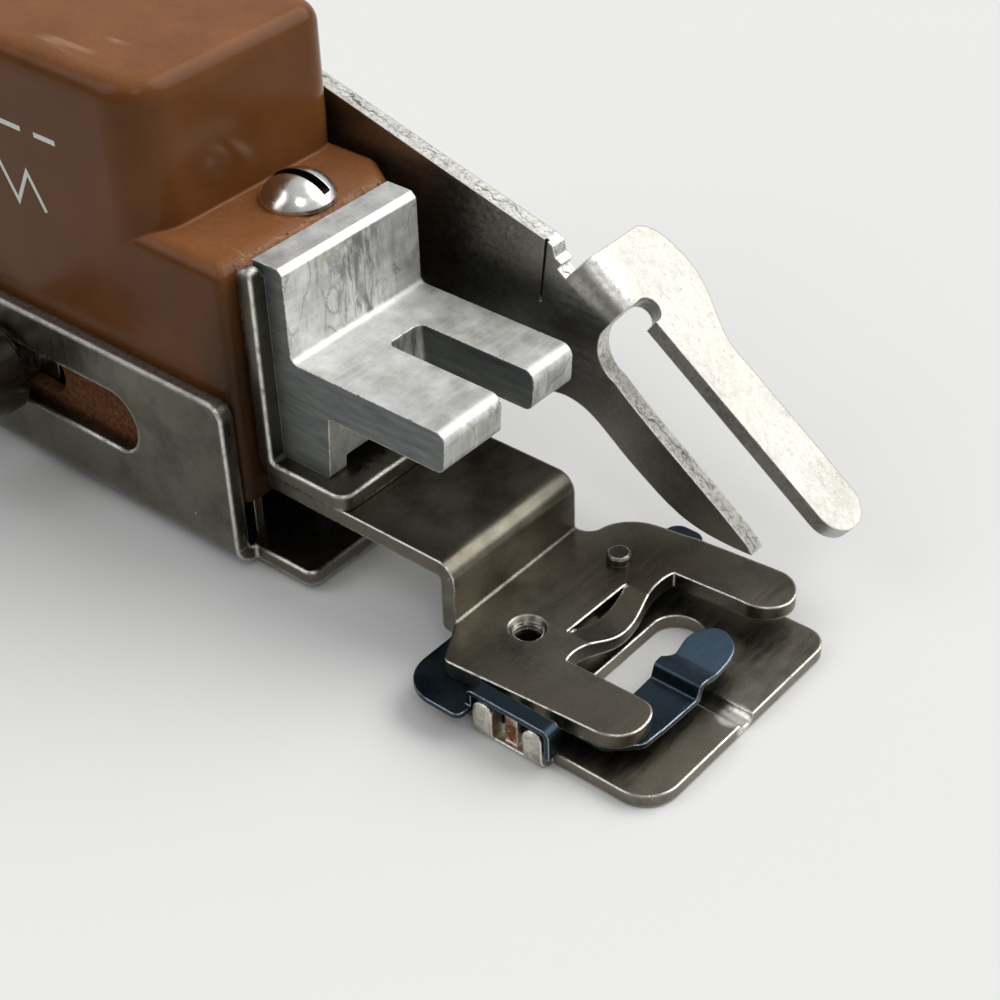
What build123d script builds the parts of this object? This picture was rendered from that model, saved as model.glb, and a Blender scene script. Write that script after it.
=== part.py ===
from build123d import *
from math import atan2, cos, degrees, hypot, pi, radians, sin
import os

# Zigzag attachment for a sewing machine. Millimetres, +Z up, +X forward to the operator,
# +Y to the right. The origin lies on the sole's underside, straight below the foot screw's hole.

# ---- sheet stock ----
SHEET = 1.9
TRAY_SHEET = 1.8
LEVER_SHEET = 2.0
SOLE_SHEET = 1.7
SPRING_SHEET = 0.6

# ---- levels, counted up from the sole's underside ----
FOOT_TOP = 5.7
STRAP_TOP = 12.7
LEG_LOW = STRAP_TOP + 0.1
LEG_TOP = LEG_LOW + SHEET
TRAY_BOTTOM = 1.2
TRAY_FLOOR = TRAY_BOTTOM + TRAY_SHEET
HOUSING_BOTTOM = 9.2
LEDGE_TOP = 38.3
HOUSING_TOP = 55.0

# ---- presser yoke ----
YOKE_BACK = -31.9
LIP_BACK = -33.4
LIP_LOW = 37.3
YOKE_FRONT = -29.2
YOKE_LEFT = -2.2
YOKE_RIGHT = 18.0
YOKE_TOP = 38.7
ARM_LOW = 22.7
ARM_HIGH = 27.7
ARM_TIP = -8.1
BLOCK_FRONT = -24.4
YOKE_SLOT_LEFT = 6.5
YOKE_SLOT_RIGHT = 11.65
YOKE_SLOT_BACK = -23.7
YOKE_RELIEF_TOP = 16.5
YOKE_LEG = 2.5
YOKE_CHAMFER = 0.65

# ---- angle bracket ----
BRACKET_BACK = YOKE_BACK - SHEET
BRACKET_LEFT = -4.15
BRACKET_RIGHT = 17.6
BRACKET_TOP = 38.45
LEG_FRONT = -21.3
BRACKET_EAR = 1.85
YOKE_SCREW_Y = (0.4, 15.4)
YOKE_SCREW_Z = 21.0
YOKE_SCREW_DEPTH = 2.6
SCREW_HEAD_R = 2.2
SCREW_HEAD = 1.8

# ---- foot ----
STRAP_LEFT = -3.8
STRAP_RIGHT = 16.1
RISER_FRONT = -6.5
STRAP_BACK = -33.2
TAIL_BACK = -44.0
TAIL_LEFT = -1.6
TAIL_RIGHT = 5.1
FOOT_TRAVEL = 1.8
FOOT_SCREW_R = 1.68
COUNTERSINK = 0.4
FOOT_RIVET = (0.7, 14.5)
FINGER_TRAVEL = 2.0
HOOK_LOW = 2.1
LINK_PIN_X = -41.0

# ---- sole ----
SOLE_FRONT = 23.1
SOLE_BACK = -6.5
SOLE_LEFT = -9.35
SOLE_RIGHT = 21.75
SOLE_MID = (SOLE_LEFT + SOLE_RIGHT) / 2
NEEDLE_SLOT_X = 10.0
NEEDLE_SLOT_WIDTH = 5.8
NEEDLE_SLOT_LENGTH = 18.2
THREAD_GROOVE_R = 1.25
LUG_BACK = 1.8
LUG_FRONT = 10.6
LUG_TOP = 4.75

# ---- tray ----
TRAY_LEFT = -8.2
TRAY_RIGHT = 22.6
TRAY_FRONT = -34.6
TRAY_BACK = -92.0
TRAY_WALL_TOP = 22.8
TRAY_BEND = 2.75
TAB_FRONT = -26.0
WALL_CORNER_R = 2.0
WIDTH_SLOT_FRONT = -48.9
WIDTH_SLOT_BACK = -80.0
WIDTH_SLOT_HEIGHT = 7.9
WIDTH_SLOT_Z = 13.75

# ---- housing ----
SHELL = 1.8
WALL_GAP = 0.35
HOUSING_LEFT = TRAY_LEFT + TRAY_SHEET + WALL_GAP
HOUSING_RIGHT = 22.6
REBATE_RIGHT = TRAY_RIGHT - TRAY_SHEET - WALL_GAP
REBATE_TOP = TRAY_WALL_TOP + 0.5
HOUSING_FRONT = -34.25
HOUSING_BACK = TRAY_BACK + TRAY_SHEET + 0.3
STEP_X = -44.4
COVER_SCREW = (-39.0, 10.3)
REAR_POST_X = -85.6
REAR_POST_Y = (-0.2, 16.0)
REAR_POST_R = 3.2

# ---- fork lever and its shaft ----
LEVER_NEAR = 23.1
LEVER_FAR = LEVER_NEAR + LEVER_SHEET
PIVOT_X = -76.0
PIVOT_Z = 41.7
SHAFT_R = 2.5
LEVER_LIFT = 20.0
SHAFT_END = 9.0
BEARING_BACK = 9.3
BEARING_FRONT = 11.7
POST_BACK = -82.0
POST_FRONT = -76.5
SLEEVE_R = 3.2
CRANK_NEAR = 15.8
CRANK_FAR = 17.8
PRONG_ANGLE = 36.2
FLANGE_BEND = 3.1
FLANGE_ROOT = (-3.1, 28.0)
FLANGE_NEAR = 26.2
FLANGE_FAR = 32.5
LOBE_FAR = 35.6
LOBE_BACK = -10.1
PRONG_LENGTH = 29.3

# ---- indexing drive ----
WHEEL_X = -66.0
WHEEL_Y = 8.65
WHEEL_Z = 31.7
WHEEL_THICK = 2.0
TEETH = 16
TIP_R = 8.9
ROOT_R = 7.6
DRIVE_R = 8.0
CRANK_R = 9.0
CRANK_Z = WHEEL_Z + WHEEL_THICK / 2
PAWL_NEAR = 18.0
PAWL_FAR = 20.1
PAWL_BACKLASH = 0.45
CAM_LOBES = 8
CAM_VALLEY = 5.5
CAM_RISE = 1.2
AXLE_R = 2.0
HUB_R = 3.4
FOLLOWER_X = -56.0
FOLLOWER_Z = 24.0
FOLLOWER_THICK = 2.0
NOSE_R = 1.0
NOSE_GAP = 0.4
FOLLOWER_Y = WHEEL_Y - CAM_VALLEY - NOSE_R - NOSE_GAP
KNOB_X = -71.9
KNOB_R = 5.5
KNOB_END = -20.5
STUD_R = 2.9
THREAD_R = 1.5
RUN = 0.05
WIDTH_STUD_SLOT = (-79.4, -63.6)
TRAY_STUDS = (
    (COVER_SCREW[0], COVER_SCREW[1], 1.6),
    (WHEEL_X, WHEEL_Y, 1.6),
    (FOLLOWER_X, FOLLOWER_Y, 1.2),
)


def save(shape, name):
    """Write one sub-part as a STEP file named after its node."""
    shape.label = name
    export_step(shape, os.path.join("parts", name + ".step"))


def box(x0, x1, y0, y1, z0, z1):
    """A block between two opposite corners."""
    block = Box(x1 - x0, y1 - y0, z1 - z0)
    return Pos((x0 + x1) / 2, (y0 + y1) / 2, (z0 + z1) / 2) * block


def upright(x, y, z0, z1, radius):
    """A cylinder standing along Z."""
    return Pos(x, y, (z0 + z1) / 2) * Cylinder(radius, z1 - z0)


def crosswise(x, y0, y1, z, radius):
    """A cylinder lying along Y."""
    return Pos(x, (y0 + y1) / 2, z) * Rot(90, 0, 0) * Cylinder(radius, y1 - y0)


def lengthwise(x0, x1, y, z, radius):
    """A cylinder lying along X."""
    return Pos((x0 + x1) / 2, y, z) * Rot(0, 90, 0) * Cylinder(radius, x1 - x0)


def plate(sketch, z0, z1):
    """A flat outline drawn from above, between two heights."""
    return extrude(Pos(0, 0, z0) * sketch, amount=z1 - z0)


def side(sketch, y0, y1):
    """An outline drawn in X and Z, between two places along Y."""
    face = Pos(0, y0, 0) * Rot(90, 0, 0) * sketch
    return extrude(face, amount=-(y1 - y0))


def across(sketch, x0, x1):
    """An outline drawn in Y and Z, between two places along X."""
    return extrude(Plane.YZ.offset(x0) * sketch, amount=x1 - x0)


def rounded(points, radii):
    """A closed outline whose corners have the given radii, 0 for a sharp one."""
    sketch = make_face(Polyline(*points, close=True))
    for point, radius in zip(points, radii):
        if radius > 0:
            corner = sketch.vertices().sort_by_distance(Vector(point[0], point[1], 0))[0]
            sketch = fillet(corner, radius)
    return sketch


def outline(x0, x1, y0, y1, radius):
    """A rectangle with equal corner radii, by its sides."""
    shape = RectangleRounded(x1 - x0, y1 - y0, radius) if radius else Rectangle(x1 - x0, y1 - y0)
    return Pos((x0 + x1) / 2, (y0 + y1) / 2) * shape


def presser_yoke():
    """Extruded aluminium yoke: upright, slotted arm and a foot block with a relief under it."""
    profile = rounded(
        [
            (YOKE_BACK, LEG_TOP),
            (BLOCK_FRONT - 0.6, LEG_TOP),
            (BLOCK_FRONT, ARM_LOW),
            (ARM_TIP - 0.4, ARM_LOW),
            (ARM_TIP, ARM_HIGH),
            (YOKE_FRONT, ARM_HIGH),
            (YOKE_FRONT, YOKE_TOP - YOKE_CHAMFER),
            (YOKE_FRONT - YOKE_CHAMFER, YOKE_TOP),
            (LIP_BACK, YOKE_TOP),
            (LIP_BACK, LIP_LOW),
            (YOKE_BACK, LIP_LOW),
        ],
        [0.5, 0.5, 0.5, 1.2, 1.3, 0.9, 0.2, 0.2, 0.2, 0.2, 0],
    )
    body = side(profile, YOKE_LEFT, YOKE_RIGHT)
    slot = outline(YOKE_SLOT_BACK, ARM_TIP + 4, YOKE_SLOT_LEFT, YOKE_SLOT_RIGHT, 1.0)
    body -= plate(slot, ARM_LOW - 1, ARM_HIGH + 1)
    body -= box(-40, ARM_TIP, YOKE_LEFT + YOKE_LEG, YOKE_RIGHT - YOKE_LEG, LEG_TOP - 1, YOKE_RELIEF_TOP)
    for y in YOKE_SCREW_Y:
        body -= lengthwise(YOKE_BACK - 1, YOKE_BACK + YOKE_SCREW_DEPTH, y, YOKE_SCREW_Z, THREAD_R)
    return body


def angle_bracket():
    """Bent steel angle: a leg that presses on the foot strap and an upright behind the yoke."""
    bend = 2.2
    profile = rounded(
        [
            (BRACKET_BACK, LEG_LOW),
            (LEG_FRONT, LEG_LOW),
            (LEG_FRONT, LEG_TOP),
            (YOKE_BACK, LEG_TOP),
            (YOKE_BACK, BRACKET_TOP),
            (BRACKET_BACK, BRACKET_TOP),
        ],
        [bend, 0, 0, bend - SHEET, 0.7, 0.7],
    )
    body = side(profile, BRACKET_LEFT, BRACKET_RIGHT)
    corners = [
        edge
        for edge in body.edges().filter_by(Axis.Z)
        if edge.center().X > LEG_FRONT - 0.1 and edge.length > SHEET / 2
    ]
    body = fillet(corners, 1.6)
    hem_low = LEG_TOP + bend - SHEET
    column = plate(outline(BRACKET_BACK, YOKE_BACK, BRACKET_LEFT, BRACKET_RIGHT, 0.7), hem_low - 1, BRACKET_TOP + 2)
    around = box(BRACKET_BACK - 1, YOKE_BACK + 1, BRACKET_LEFT - 1, BRACKET_RIGHT + 1, hem_low, BRACKET_TOP + 1)
    body -= around - column
    lip_seat = BRACKET_LEFT + BRACKET_EAR
    body -= box(BRACKET_BACK - 1, YOKE_BACK + 1, lip_seat, BRACKET_RIGHT + 1, LIP_LOW - 0.05, BRACKET_TOP + 1)
    ear = outline(BRACKET_LEFT, lip_seat, LIP_LOW - 4, BRACKET_TOP, 0.9)
    above = box(BRACKET_BACK - 1, YOKE_BACK + 1, BRACKET_LEFT - 1, lip_seat, LIP_LOW - 1, BRACKET_TOP + 1)
    ear = across(ear, BRACKET_BACK - 1, YOKE_BACK + 1)
    domed = outline(BRACKET_BACK, YOKE_BACK, LIP_LOW - 4, BRACKET_TOP, 0.9)
    ear &= side(domed, BRACKET_LEFT - 1, lip_seat + 1)
    body -= above - ear
    for y in YOKE_SCREW_Y:
        body -= lengthwise(BRACKET_BACK - 1, YOKE_BACK + 1, y, YOKE_SCREW_Z, THREAD_R)
    return body


def yoke_screws():
    """Two pan-head screws from inside the housing, through the bracket into the yoke."""
    face = HOUSING_FRONT - SHELL
    group = []
    for y in YOKE_SCREW_Y:
        shank = lengthwise(face, YOKE_BACK + YOKE_SCREW_DEPTH, y, YOKE_SCREW_Z, THREAD_R)
        head = lengthwise(face - SCREW_HEAD, face, y, YOKE_SCREW_Z, SCREW_HEAD_R)
        head = chamfer(head.edges().sort_by(Axis.X)[0], 0.6)
        slot_x = face - SCREW_HEAD * 0.6
        head -= box(slot_x - 5, slot_x, y - 5, y + 5, YOKE_SCREW_Z - 0.3, YOKE_SCREW_Z + 0.3)
        group.append(shank + head)
    return Compound(children=group)


def foot_outline():
    """The foot plate seen from above: two toes, a bowed bridge and a rounded far side."""
    left_toe = [(10.0, -8.05), (14.2, -7.75)]
    edges = [
        Line((RISER_FRONT - 1, STRAP_LEFT), (RISER_FRONT, STRAP_LEFT)),
        Line((RISER_FRONT, STRAP_LEFT), (-4.0, -8.4)),
        ThreePointArc((-4.0, -8.4), (-3.5, -8.9), (-2.9, -9.0)),
        Line((-2.9, -9.0), left_toe[0]),
        Line(left_toe[0], left_toe[1]),
        Spline(left_toe[1], (16.3, -7.1), (17.6, -5.6), (17.9, -3.8), (17.4, -2.0), (15.8, -1.2)),
        Line((15.8, -1.2), (6.2, -1.4)),
        Spline((6.2, -1.4), (6.5, 2.0), (7.7, 4.6), (7.7, 8.0), (6.7, 11.6), (6.6, 16.4)),
        Line((6.6, 16.4), (14.8, 17.0)),
        Spline((14.8, 17.0), (16.9, 17.5), (18.3, 18.9), (18.75, 20.7), (17.9, 22.6), (15.6, 23.6)),
        Line((15.6, 23.6), (5.0, 22.6)),
        Spline((5.0, 22.6), (1.5, 22.0), (-1.0, 21.4), (-3.3, 19.6), (-4.2, 17.4)),
        ThreePointArc((-4.2, 17.4), (-4.9, 16.5), (RISER_FRONT, STRAP_RIGHT)),
        Line((RISER_FRONT, STRAP_RIGHT), (RISER_FRONT - 1, STRAP_RIGHT)),
        Line((RISER_FRONT - 1, STRAP_RIGHT), (RISER_FRONT - 1, STRAP_LEFT)),
    ]
    return make_face(edges)


def foot_arm():
    """Foot plate, riser and strap bent from one strip, with a narrow tail inside the housing."""
    low = FOOT_TOP - SHEET
    step = rounded(
        [
            (STRAP_BACK, STRAP_TOP - SHEET),
            (RISER_FRONT - SHEET, STRAP_TOP - SHEET),
            (RISER_FRONT - SHEET, low),
            (RISER_FRONT + 0.5, low),
            (RISER_FRONT + 0.5, FOOT_TOP),
            (RISER_FRONT, FOOT_TOP),
            (RISER_FRONT, STRAP_TOP),
            (STRAP_BACK, STRAP_TOP),
        ],
        [0, 0.4, 0.8, 0, 0, 0.3, 2.2, 0],
    )
    body = side(step, STRAP_LEFT, STRAP_RIGHT)
    body += plate(foot_outline(), low, FOOT_TOP)
    body -= box(-80, RISER_FRONT - SHEET, -30, 30, -5, low)
    tail = outline(TAIL_BACK, STRAP_BACK + 1, TAIL_LEFT, TAIL_RIGHT, 0)
    body += plate(tail, STRAP_TOP - SHEET, STRAP_TOP)
    slit = make_face(
        [
            Line((3.5, 2.0), (3.7, 11.9)),
            Spline((3.7, 11.9), (4.3, 9.2), (4.55, 6.6), (4.2, 4.0), (3.5, 2.0)),
        ]
    )
    body -= plate(slit, low - 1, FOOT_TOP + 1)
    body = bow_bridge(body, low)
    body -= side(toe_fall(), -12, 26)
    body -= upright(0, 0, low - 1, FOOT_TOP + 1, FOOT_SCREW_R)
    countersink = Cone(FOOT_SCREW_R, FOOT_SCREW_R + COUNTERSINK, COUNTERSINK)
    body -= Pos(0, 0, FOOT_TOP - COUNTERSINK / 2) * countersink
    body -= upright(*FOOT_RIVET, low - 1, FOOT_TOP + 1, 1.1)
    body -= upright(LINK_PIN_X, FOLLOWER_Y, 0, STRAP_TOP + 1, 1.0)
    return body


def bow_bridge(body, low):
    """Presses the strip between the slit and the needle notch down into a shallow bow."""
    bridge = make_face(Polyline((3.9, 2.0), (3.9, 11.9), (9.0, 11.9), (9.0, 2.0), close=True))
    left, middle, right = 2.1, 6.9, 11.8
    drop = 0.5
    top = ThreePointArc((left, FOOT_TOP), (middle, FOOT_TOP - drop), (right, FOOT_TOP))
    rest = Polyline((right, FOOT_TOP), (right, FOOT_TOP + 1), (left, FOOT_TOP + 1), (left, FOOT_TOP))
    above = make_face([top, rest])
    return body - (across(above, 0, 9) & plate(bridge, low - 2, FOOT_TOP + 2))


def toe_fall():
    """X-Z area above the slightly falling tips of the toes."""
    start, end, drop = 13.8, 20.0, 0.55
    fall = ThreePointArc((start, FOOT_TOP), ((start + end) / 2, FOOT_TOP - drop / 4), (end, FOOT_TOP - drop))
    rest = Polyline((end, FOOT_TOP - drop), (end, FOOT_TOP + 1), (start, FOOT_TOP + 1), (start, FOOT_TOP))
    return make_face([fall, rest])


def foot_rivet():
    """Headed rivet that joins foot plate and sole, with a proud stub on top."""
    x, y = FOOT_RIVET
    stub = upright(x, y, FOOT_TOP, FOOT_TOP + 1.15, 1.35)
    stub = chamfer(stub.edges().sort_by(Axis.Z)[-1], 0.2)
    collar = upright(x, y, SOLE_SHEET, FOOT_TOP - SHEET, 2.0)
    return stub + collar + upright(x, y, 0.3, FOOT_TOP, 1.1)


def link_pin():
    """Pin standing on the foot strap's tail, moved sideways by the follower's fork."""
    shank = upright(LINK_PIN_X, FOLLOWER_Y, STRAP_TOP, FOLLOWER_Z + FOLLOWER_THICK + 1.0, 1.3)
    shank = chamfer(shank.edges().sort_by(Axis.Z)[-1], 0.3)
    return shank + upright(LINK_PIN_X, FOLLOWER_Y, STRAP_TOP - SHEET, STRAP_TOP, 1.0)


def sole_plate():
    """Cloth plate with a crosswise needle slot, a thread groove and a notched lug at its left."""
    base = rounded(
        [
            (SOLE_BACK, SOLE_LEFT),
            (SOLE_FRONT, SOLE_LEFT),
            (SOLE_FRONT, SOLE_RIGHT),
            (SOLE_BACK, SOLE_RIGHT),
        ],
        [2.0, 4.0, 2.6, 2.0],
    )
    body = plate(base, 0, SOLE_SHEET)
    body = chamfer(body.edges().group_by(Axis.Z)[0], 0.3)
    lug = rounded(
        [
            (SOLE_LEFT + 1, 0),
            (SOLE_LEFT - SOLE_SHEET, 0),
            (SOLE_LEFT - SOLE_SHEET, LUG_TOP),
            (SOLE_LEFT, LUG_TOP),
            (SOLE_LEFT, SOLE_SHEET),
            (SOLE_LEFT + 1, SOLE_SHEET),
        ],
        [0, 1.6, 0.4, 0.4, 0, 0],
    )
    lug = across(lug, LUG_BACK, LUG_FRONT)
    mid = (LUG_BACK + LUG_FRONT) / 2
    prongs = outline(LUG_BACK, mid - 1.95, -3, LUG_TOP, 0.95)
    prongs += outline(mid + 2.1, LUG_FRONT, -3, LUG_TOP, 0.95)
    prongs += outline(LUG_BACK, LUG_FRONT, -3, 0.75, 0)
    root = box(0, 20, SOLE_LEFT, SOLE_LEFT + 5, -1, LUG_TOP)
    lug &= side(prongs, SOLE_LEFT - 5, SOLE_LEFT + 5) + root
    lug += box(mid - 0.95, mid + 0.6, SOLE_LEFT - 0.75, SOLE_LEFT, 0, LUG_TOP - 0.2)
    body += lug
    slot = SlotOverall(NEEDLE_SLOT_LENGTH, NEEDLE_SLOT_WIDTH)
    body -= plate(Pos(NEEDLE_SLOT_X, SOLE_MID) * Rot(0, 0, 90) * slot, -1, SOLE_SHEET + 1)
    groove_z = SOLE_SHEET + 0.45
    body -= lengthwise(NEEDLE_SLOT_X, SOLE_FRONT + 1, SOLE_MID, groove_z, THREAD_GROOVE_R)
    body -= upright(*FOOT_RIVET, -1, SOLE_SHEET + 1, 1.1)
    body -= Pos(*FOOT_RIVET, 0.3) * Cylinder(1.9, 0.6)
    return body


def finger_spring():
    """Blued leaf between foot and sole: two ears, a side strap and the stitch finger."""
    top = FOOT_TOP - SHEET - 0.1
    low = top - SPRING_SHEET
    left_ear = rounded(
        [(-6.9, 8.0), (-6.9, -12.9), (1.5, -12.9), (1.5, 8.0)],
        [0, 4.4, 0.9, 0],
    )
    right_ear = rounded(
        [
            (-3.4, 8.0),
            (5.0, 8.0),
            (5.2, 20.0),
            (4.4, 25.6),
            (0.4, 25.6),
            (-0.6, 20.9),
            (-3.0, 19.4),
        ],
        [0, 0, 1.0, 1.6, 1.6, 1.0, 1.0],
    )
    body = plate(left_ear, low, top) + plate(right_ear, low, top)
    rivet_x, rivet_y = FOOT_RIVET
    window = outline(rivet_x - 2.1, rivet_x + 2.1, rivet_y - 2.3, rivet_y + 2.3 + FINGER_TRAVEL, 1.6)
    body -= plate(window, low - 1, top + 1)
    body -= upright(0, 0, low - 1, top + 1, 2.4)
    hook = rounded(
        [
            (0.2, low),
            (1.5, low),
            (1.5, FOOT_TOP - SPRING_SHEET),
            (10.9, FOOT_TOP - SPRING_SHEET),
            (10.9, HOOK_LOW),
            (10.9 + SPRING_SHEET, HOOK_LOW),
            (10.9 + SPRING_SHEET, FOOT_TOP),
            (0.9, FOOT_TOP),
            (0.9, top),
            (0.2, top),
        ],
        [0, 0.2, 0.1, 0.4, 0, 0, 0.9, 0.7, 0.2, 0],
    )
    body += side(hook, -10.95, -9.1)
    under_toe = rounded(
        [
            (0.0, -7.0),
            (11.0, -7.0),
            (12.0, -7.4),
            (15.4, -7.4),
            (18.4, -4.6),
            (18.6, -1.0),
            (12.4, -1.0),
            (11.2, -1.8),
            (0.0, -1.8),
        ],
        [0, 0.8, 0.8, 1.6, 1.6, 0, 0, 0.8, 0],
    )
    body += plate(under_toe, low, top)
    body += stitch_finger(low, top)
    return body


def stitch_finger(low, top):
    """The finger that reaches across the needle slot, with a ridge before its raised round pad."""
    ridge = 1.55
    rise = 0.9
    length = rounded(
        [
            (-2.0, low),
            (4.1, low),
            (4.8, low + ridge),
            (5.1, low + ridge),
            (7.0, low + rise),
            (13.4, low + rise + 0.1),
            (13.4, top + rise + 0.1),
            (7.2, top + rise),
            (5.4, top + ridge),
            (4.2, top + ridge),
            (3.6, top),
            (-2.0, top),
        ],
        [0, 0.5, 0.1, 0.1, 0.5, 0, 0, 0.7, 0.6, 0.6, 0.2, 0],
    )
    strip = across(length, 10, 20)
    shape = make_face(
        [
            Line((13.3, -2.0), (13.0, 5.4)),
            Spline((13.0, 5.4), (13.5, 7.2), (13.1, 9.2), (13.3, 11.3), (14.5, 12.8), (16.4, 12.7)),
            Spline((16.4, 12.7), (17.9, 11.3), (18.5, 9.2), (18.8, 5.4)),
            Line((18.8, 5.4), (18.6, -2.0)),
            Line((18.6, -2.0), (13.3, -2.0)),
        ]
    )
    return strip & plate(shape, low - 1, top + ridge + 1)


def base_tray():
    """Folded steel tray: floor, two side walls, a rear wall and a front tab."""
    floor = outline(TRAY_BACK + 2.0, TRAY_FRONT, TRAY_LEFT + TRAY_BEND, TRAY_RIGHT - TRAY_BEND, 0)
    body = plate(floor, TRAY_BOTTOM, TRAY_FLOOR)
    tab = rounded(
        [
            (TRAY_FRONT - 1, TRAY_LEFT + TRAY_BEND),
            (TAB_FRONT, TRAY_LEFT + TRAY_BEND),
            (TAB_FRONT, TRAY_RIGHT - TRAY_BEND),
            (TRAY_FRONT - 1, TRAY_RIGHT - TRAY_BEND),
        ],
        [0, 1.2, 1.2, 0],
    )
    body += plate(tab, TRAY_BOTTOM, TRAY_FLOOR)
    section = rounded(
        [
            (TRAY_LEFT, TRAY_WALL_TOP),
            (TRAY_LEFT, TRAY_BOTTOM),
            (TRAY_RIGHT, TRAY_BOTTOM),
            (TRAY_RIGHT, TRAY_WALL_TOP),
            (TRAY_RIGHT - TRAY_SHEET, TRAY_WALL_TOP),
            (TRAY_RIGHT - TRAY_SHEET, TRAY_FLOOR),
            (TRAY_LEFT + TRAY_SHEET, TRAY_FLOOR),
            (TRAY_LEFT + TRAY_SHEET, TRAY_WALL_TOP),
        ],
        [0.3, TRAY_BEND, TRAY_BEND, 0.3, 0.3, TRAY_BEND - TRAY_SHEET, TRAY_BEND - TRAY_SHEET, 0.3],
    )
    channel = across(section, TRAY_BACK + 2.0, TRAY_FRONT)
    corner_x = TRAY_FRONT - WALL_CORNER_R
    corner_z = TRAY_WALL_TOP - WALL_CORNER_R
    corner = box(corner_x, TRAY_FRONT + 1, TRAY_LEFT - 1, TRAY_RIGHT + 1, corner_z, TRAY_WALL_TOP + 1)
    corner -= crosswise(corner_x, TRAY_LEFT - 2, TRAY_RIGHT + 2, corner_z, WALL_CORNER_R)
    body += channel - corner
    rear = rounded(
        [
            (TRAY_BACK, TRAY_WALL_TOP),
            (TRAY_BACK, TRAY_BOTTOM),
            (TRAY_BACK + 3.0, TRAY_BOTTOM),
            (TRAY_BACK + 3.0, TRAY_FLOOR),
            (TRAY_BACK + TRAY_SHEET, TRAY_FLOOR),
            (TRAY_BACK + TRAY_SHEET, TRAY_WALL_TOP),
        ],
        [0.3, TRAY_BEND, 0, 0, TRAY_BEND - TRAY_SHEET, 0.3],
    )
    body += side(rear, TRAY_LEFT + TRAY_BEND, TRAY_RIGHT - TRAY_BEND)
    slot_length = WIDTH_SLOT_FRONT - WIDTH_SLOT_BACK
    slot_mid = (WIDTH_SLOT_FRONT + WIDTH_SLOT_BACK) / 2
    slot = Pos(slot_mid, WIDTH_SLOT_Z) * SlotOverall(slot_length, WIDTH_SLOT_HEIGHT)
    body -= side(slot, TRAY_LEFT - 1, TRAY_LEFT + TRAY_SHEET + 1)
    for y in REAR_POST_Y:
        body -= upright(REAR_POST_X, y, 0, TRAY_FLOOR + 1, 1.5)
        body -= Pos(REAR_POST_X, y, TRAY_BOTTOM + 0.55) * Cone(2.6, 1.5, 1.1)
    for x, y, radius in TRAY_STUDS:
        body -= upright(x, y, 0, TRAY_FLOOR + 1, radius)
    return body


def housing_outer():
    """The outside of the moulded housing: a low nose with a ledge and a tall rounded body."""
    nose = rounded(
        [
            (STEP_X - 8, HOUSING_LEFT),
            (HOUSING_FRONT, HOUSING_LEFT),
            (HOUSING_FRONT, HOUSING_RIGHT - 3.0),
            (HOUSING_FRONT - 4.6, HOUSING_RIGHT),
            (STEP_X - 8, HOUSING_RIGHT),
        ],
        [0, 0, 2.4, 2.4, 0],
    )
    low = plate(nose, HOUSING_BOTTOM, LEDGE_TOP)
    rim = [edge for edge in low.edges().group_by(Axis.Z)[-1] if edge.center().X > STEP_X - 7.9]
    low = fillet(rim, 2.2)
    near_corner = [
        edge
        for edge in low.edges()
        if edge.center().X > HOUSING_FRONT - 2.2 and edge.center().Y < HOUSING_LEFT + 2.2
    ]
    low = fillet(near_corner, 1.2)
    body = rounded(
        [
            (HOUSING_BACK, HOUSING_LEFT),
            (STEP_X, HOUSING_LEFT),
            (STEP_X, HOUSING_RIGHT),
            (HOUSING_BACK, HOUSING_RIGHT),
        ],
        [3.0, 5.2, 3.6, 3.0],
    )
    tall = plate(body, HOUSING_BOTTOM, HOUSING_TOP)
    tall = fillet(tall.edges().group_by(Axis.Z)[-1], 2.6)
    return low + tall


def housing_inner():
    """The hollow inside the housing, one wall thickness in from its outside."""
    left = HOUSING_LEFT + SHELL
    right = HOUSING_RIGHT - SHELL
    front = HOUSING_FRONT - SHELL
    low = plate(outline(STEP_X - 8, front, left, right, 1.6), HOUSING_BOTTOM - 1, LEDGE_TOP - SHELL)
    body = outline(HOUSING_BACK + SHELL, STEP_X - SHELL, left, right, 2.4)
    tall = plate(body, HOUSING_BOTTOM - 1, HOUSING_TOP - SHELL)
    return low + tall


def housing():
    """Moulded housing, open below, with a rebate for the tray's right wall and rear posts."""
    body = housing_outer()
    body -= box(-200, 0, REBATE_RIGHT, 60, HOUSING_BOTTOM - 1, REBATE_TOP)
    hollow = housing_inner()
    hollow -= box(-200, 0, REBATE_RIGHT - SHELL, 60, 0, REBATE_TOP + SHELL)
    body -= hollow
    for y in REAR_POST_Y:
        body += upright(REAR_POST_X, y, TRAY_FLOOR, HOUSING_TOP - SHELL, REAR_POST_R)
        body -= upright(REAR_POST_X, y, 0, TRAY_FLOOR + 8.0, 1.25)
    window = outline(TAIL_LEFT - 0.6, TAIL_RIGHT + FOOT_TRAVEL + 0.6, 0, STRAP_TOP + 0.6, 0)
    body -= across(window, HOUSING_FRONT - 3, HOUSING_FRONT + 3)
    stud_slot = Pos((WIDTH_STUD_SLOT[0] + WIDTH_STUD_SLOT[1]) / 2, WIDTH_SLOT_Z) * SlotOverall(
        WIDTH_STUD_SLOT[1] - WIDTH_STUD_SLOT[0], 2 * STUD_R + 0.4
    )
    body -= side(stud_slot, HOUSING_LEFT - 1, HOUSING_LEFT + SHELL + 0.5)
    body -= upright(*COVER_SCREW, LEDGE_TOP - 5, LEDGE_TOP + 1, 1.6)
    body -= crosswise(PIVOT_X, HOUSING_RIGHT - 4, HOUSING_RIGHT + 1, PIVOT_Z, SHAFT_R + 1.5)
    for y in YOKE_SCREW_Y:
        body -= lengthwise(HOUSING_FRONT - 3, HOUSING_FRONT + 1, y, YOKE_SCREW_Z, THREAD_R)
    return body


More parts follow.
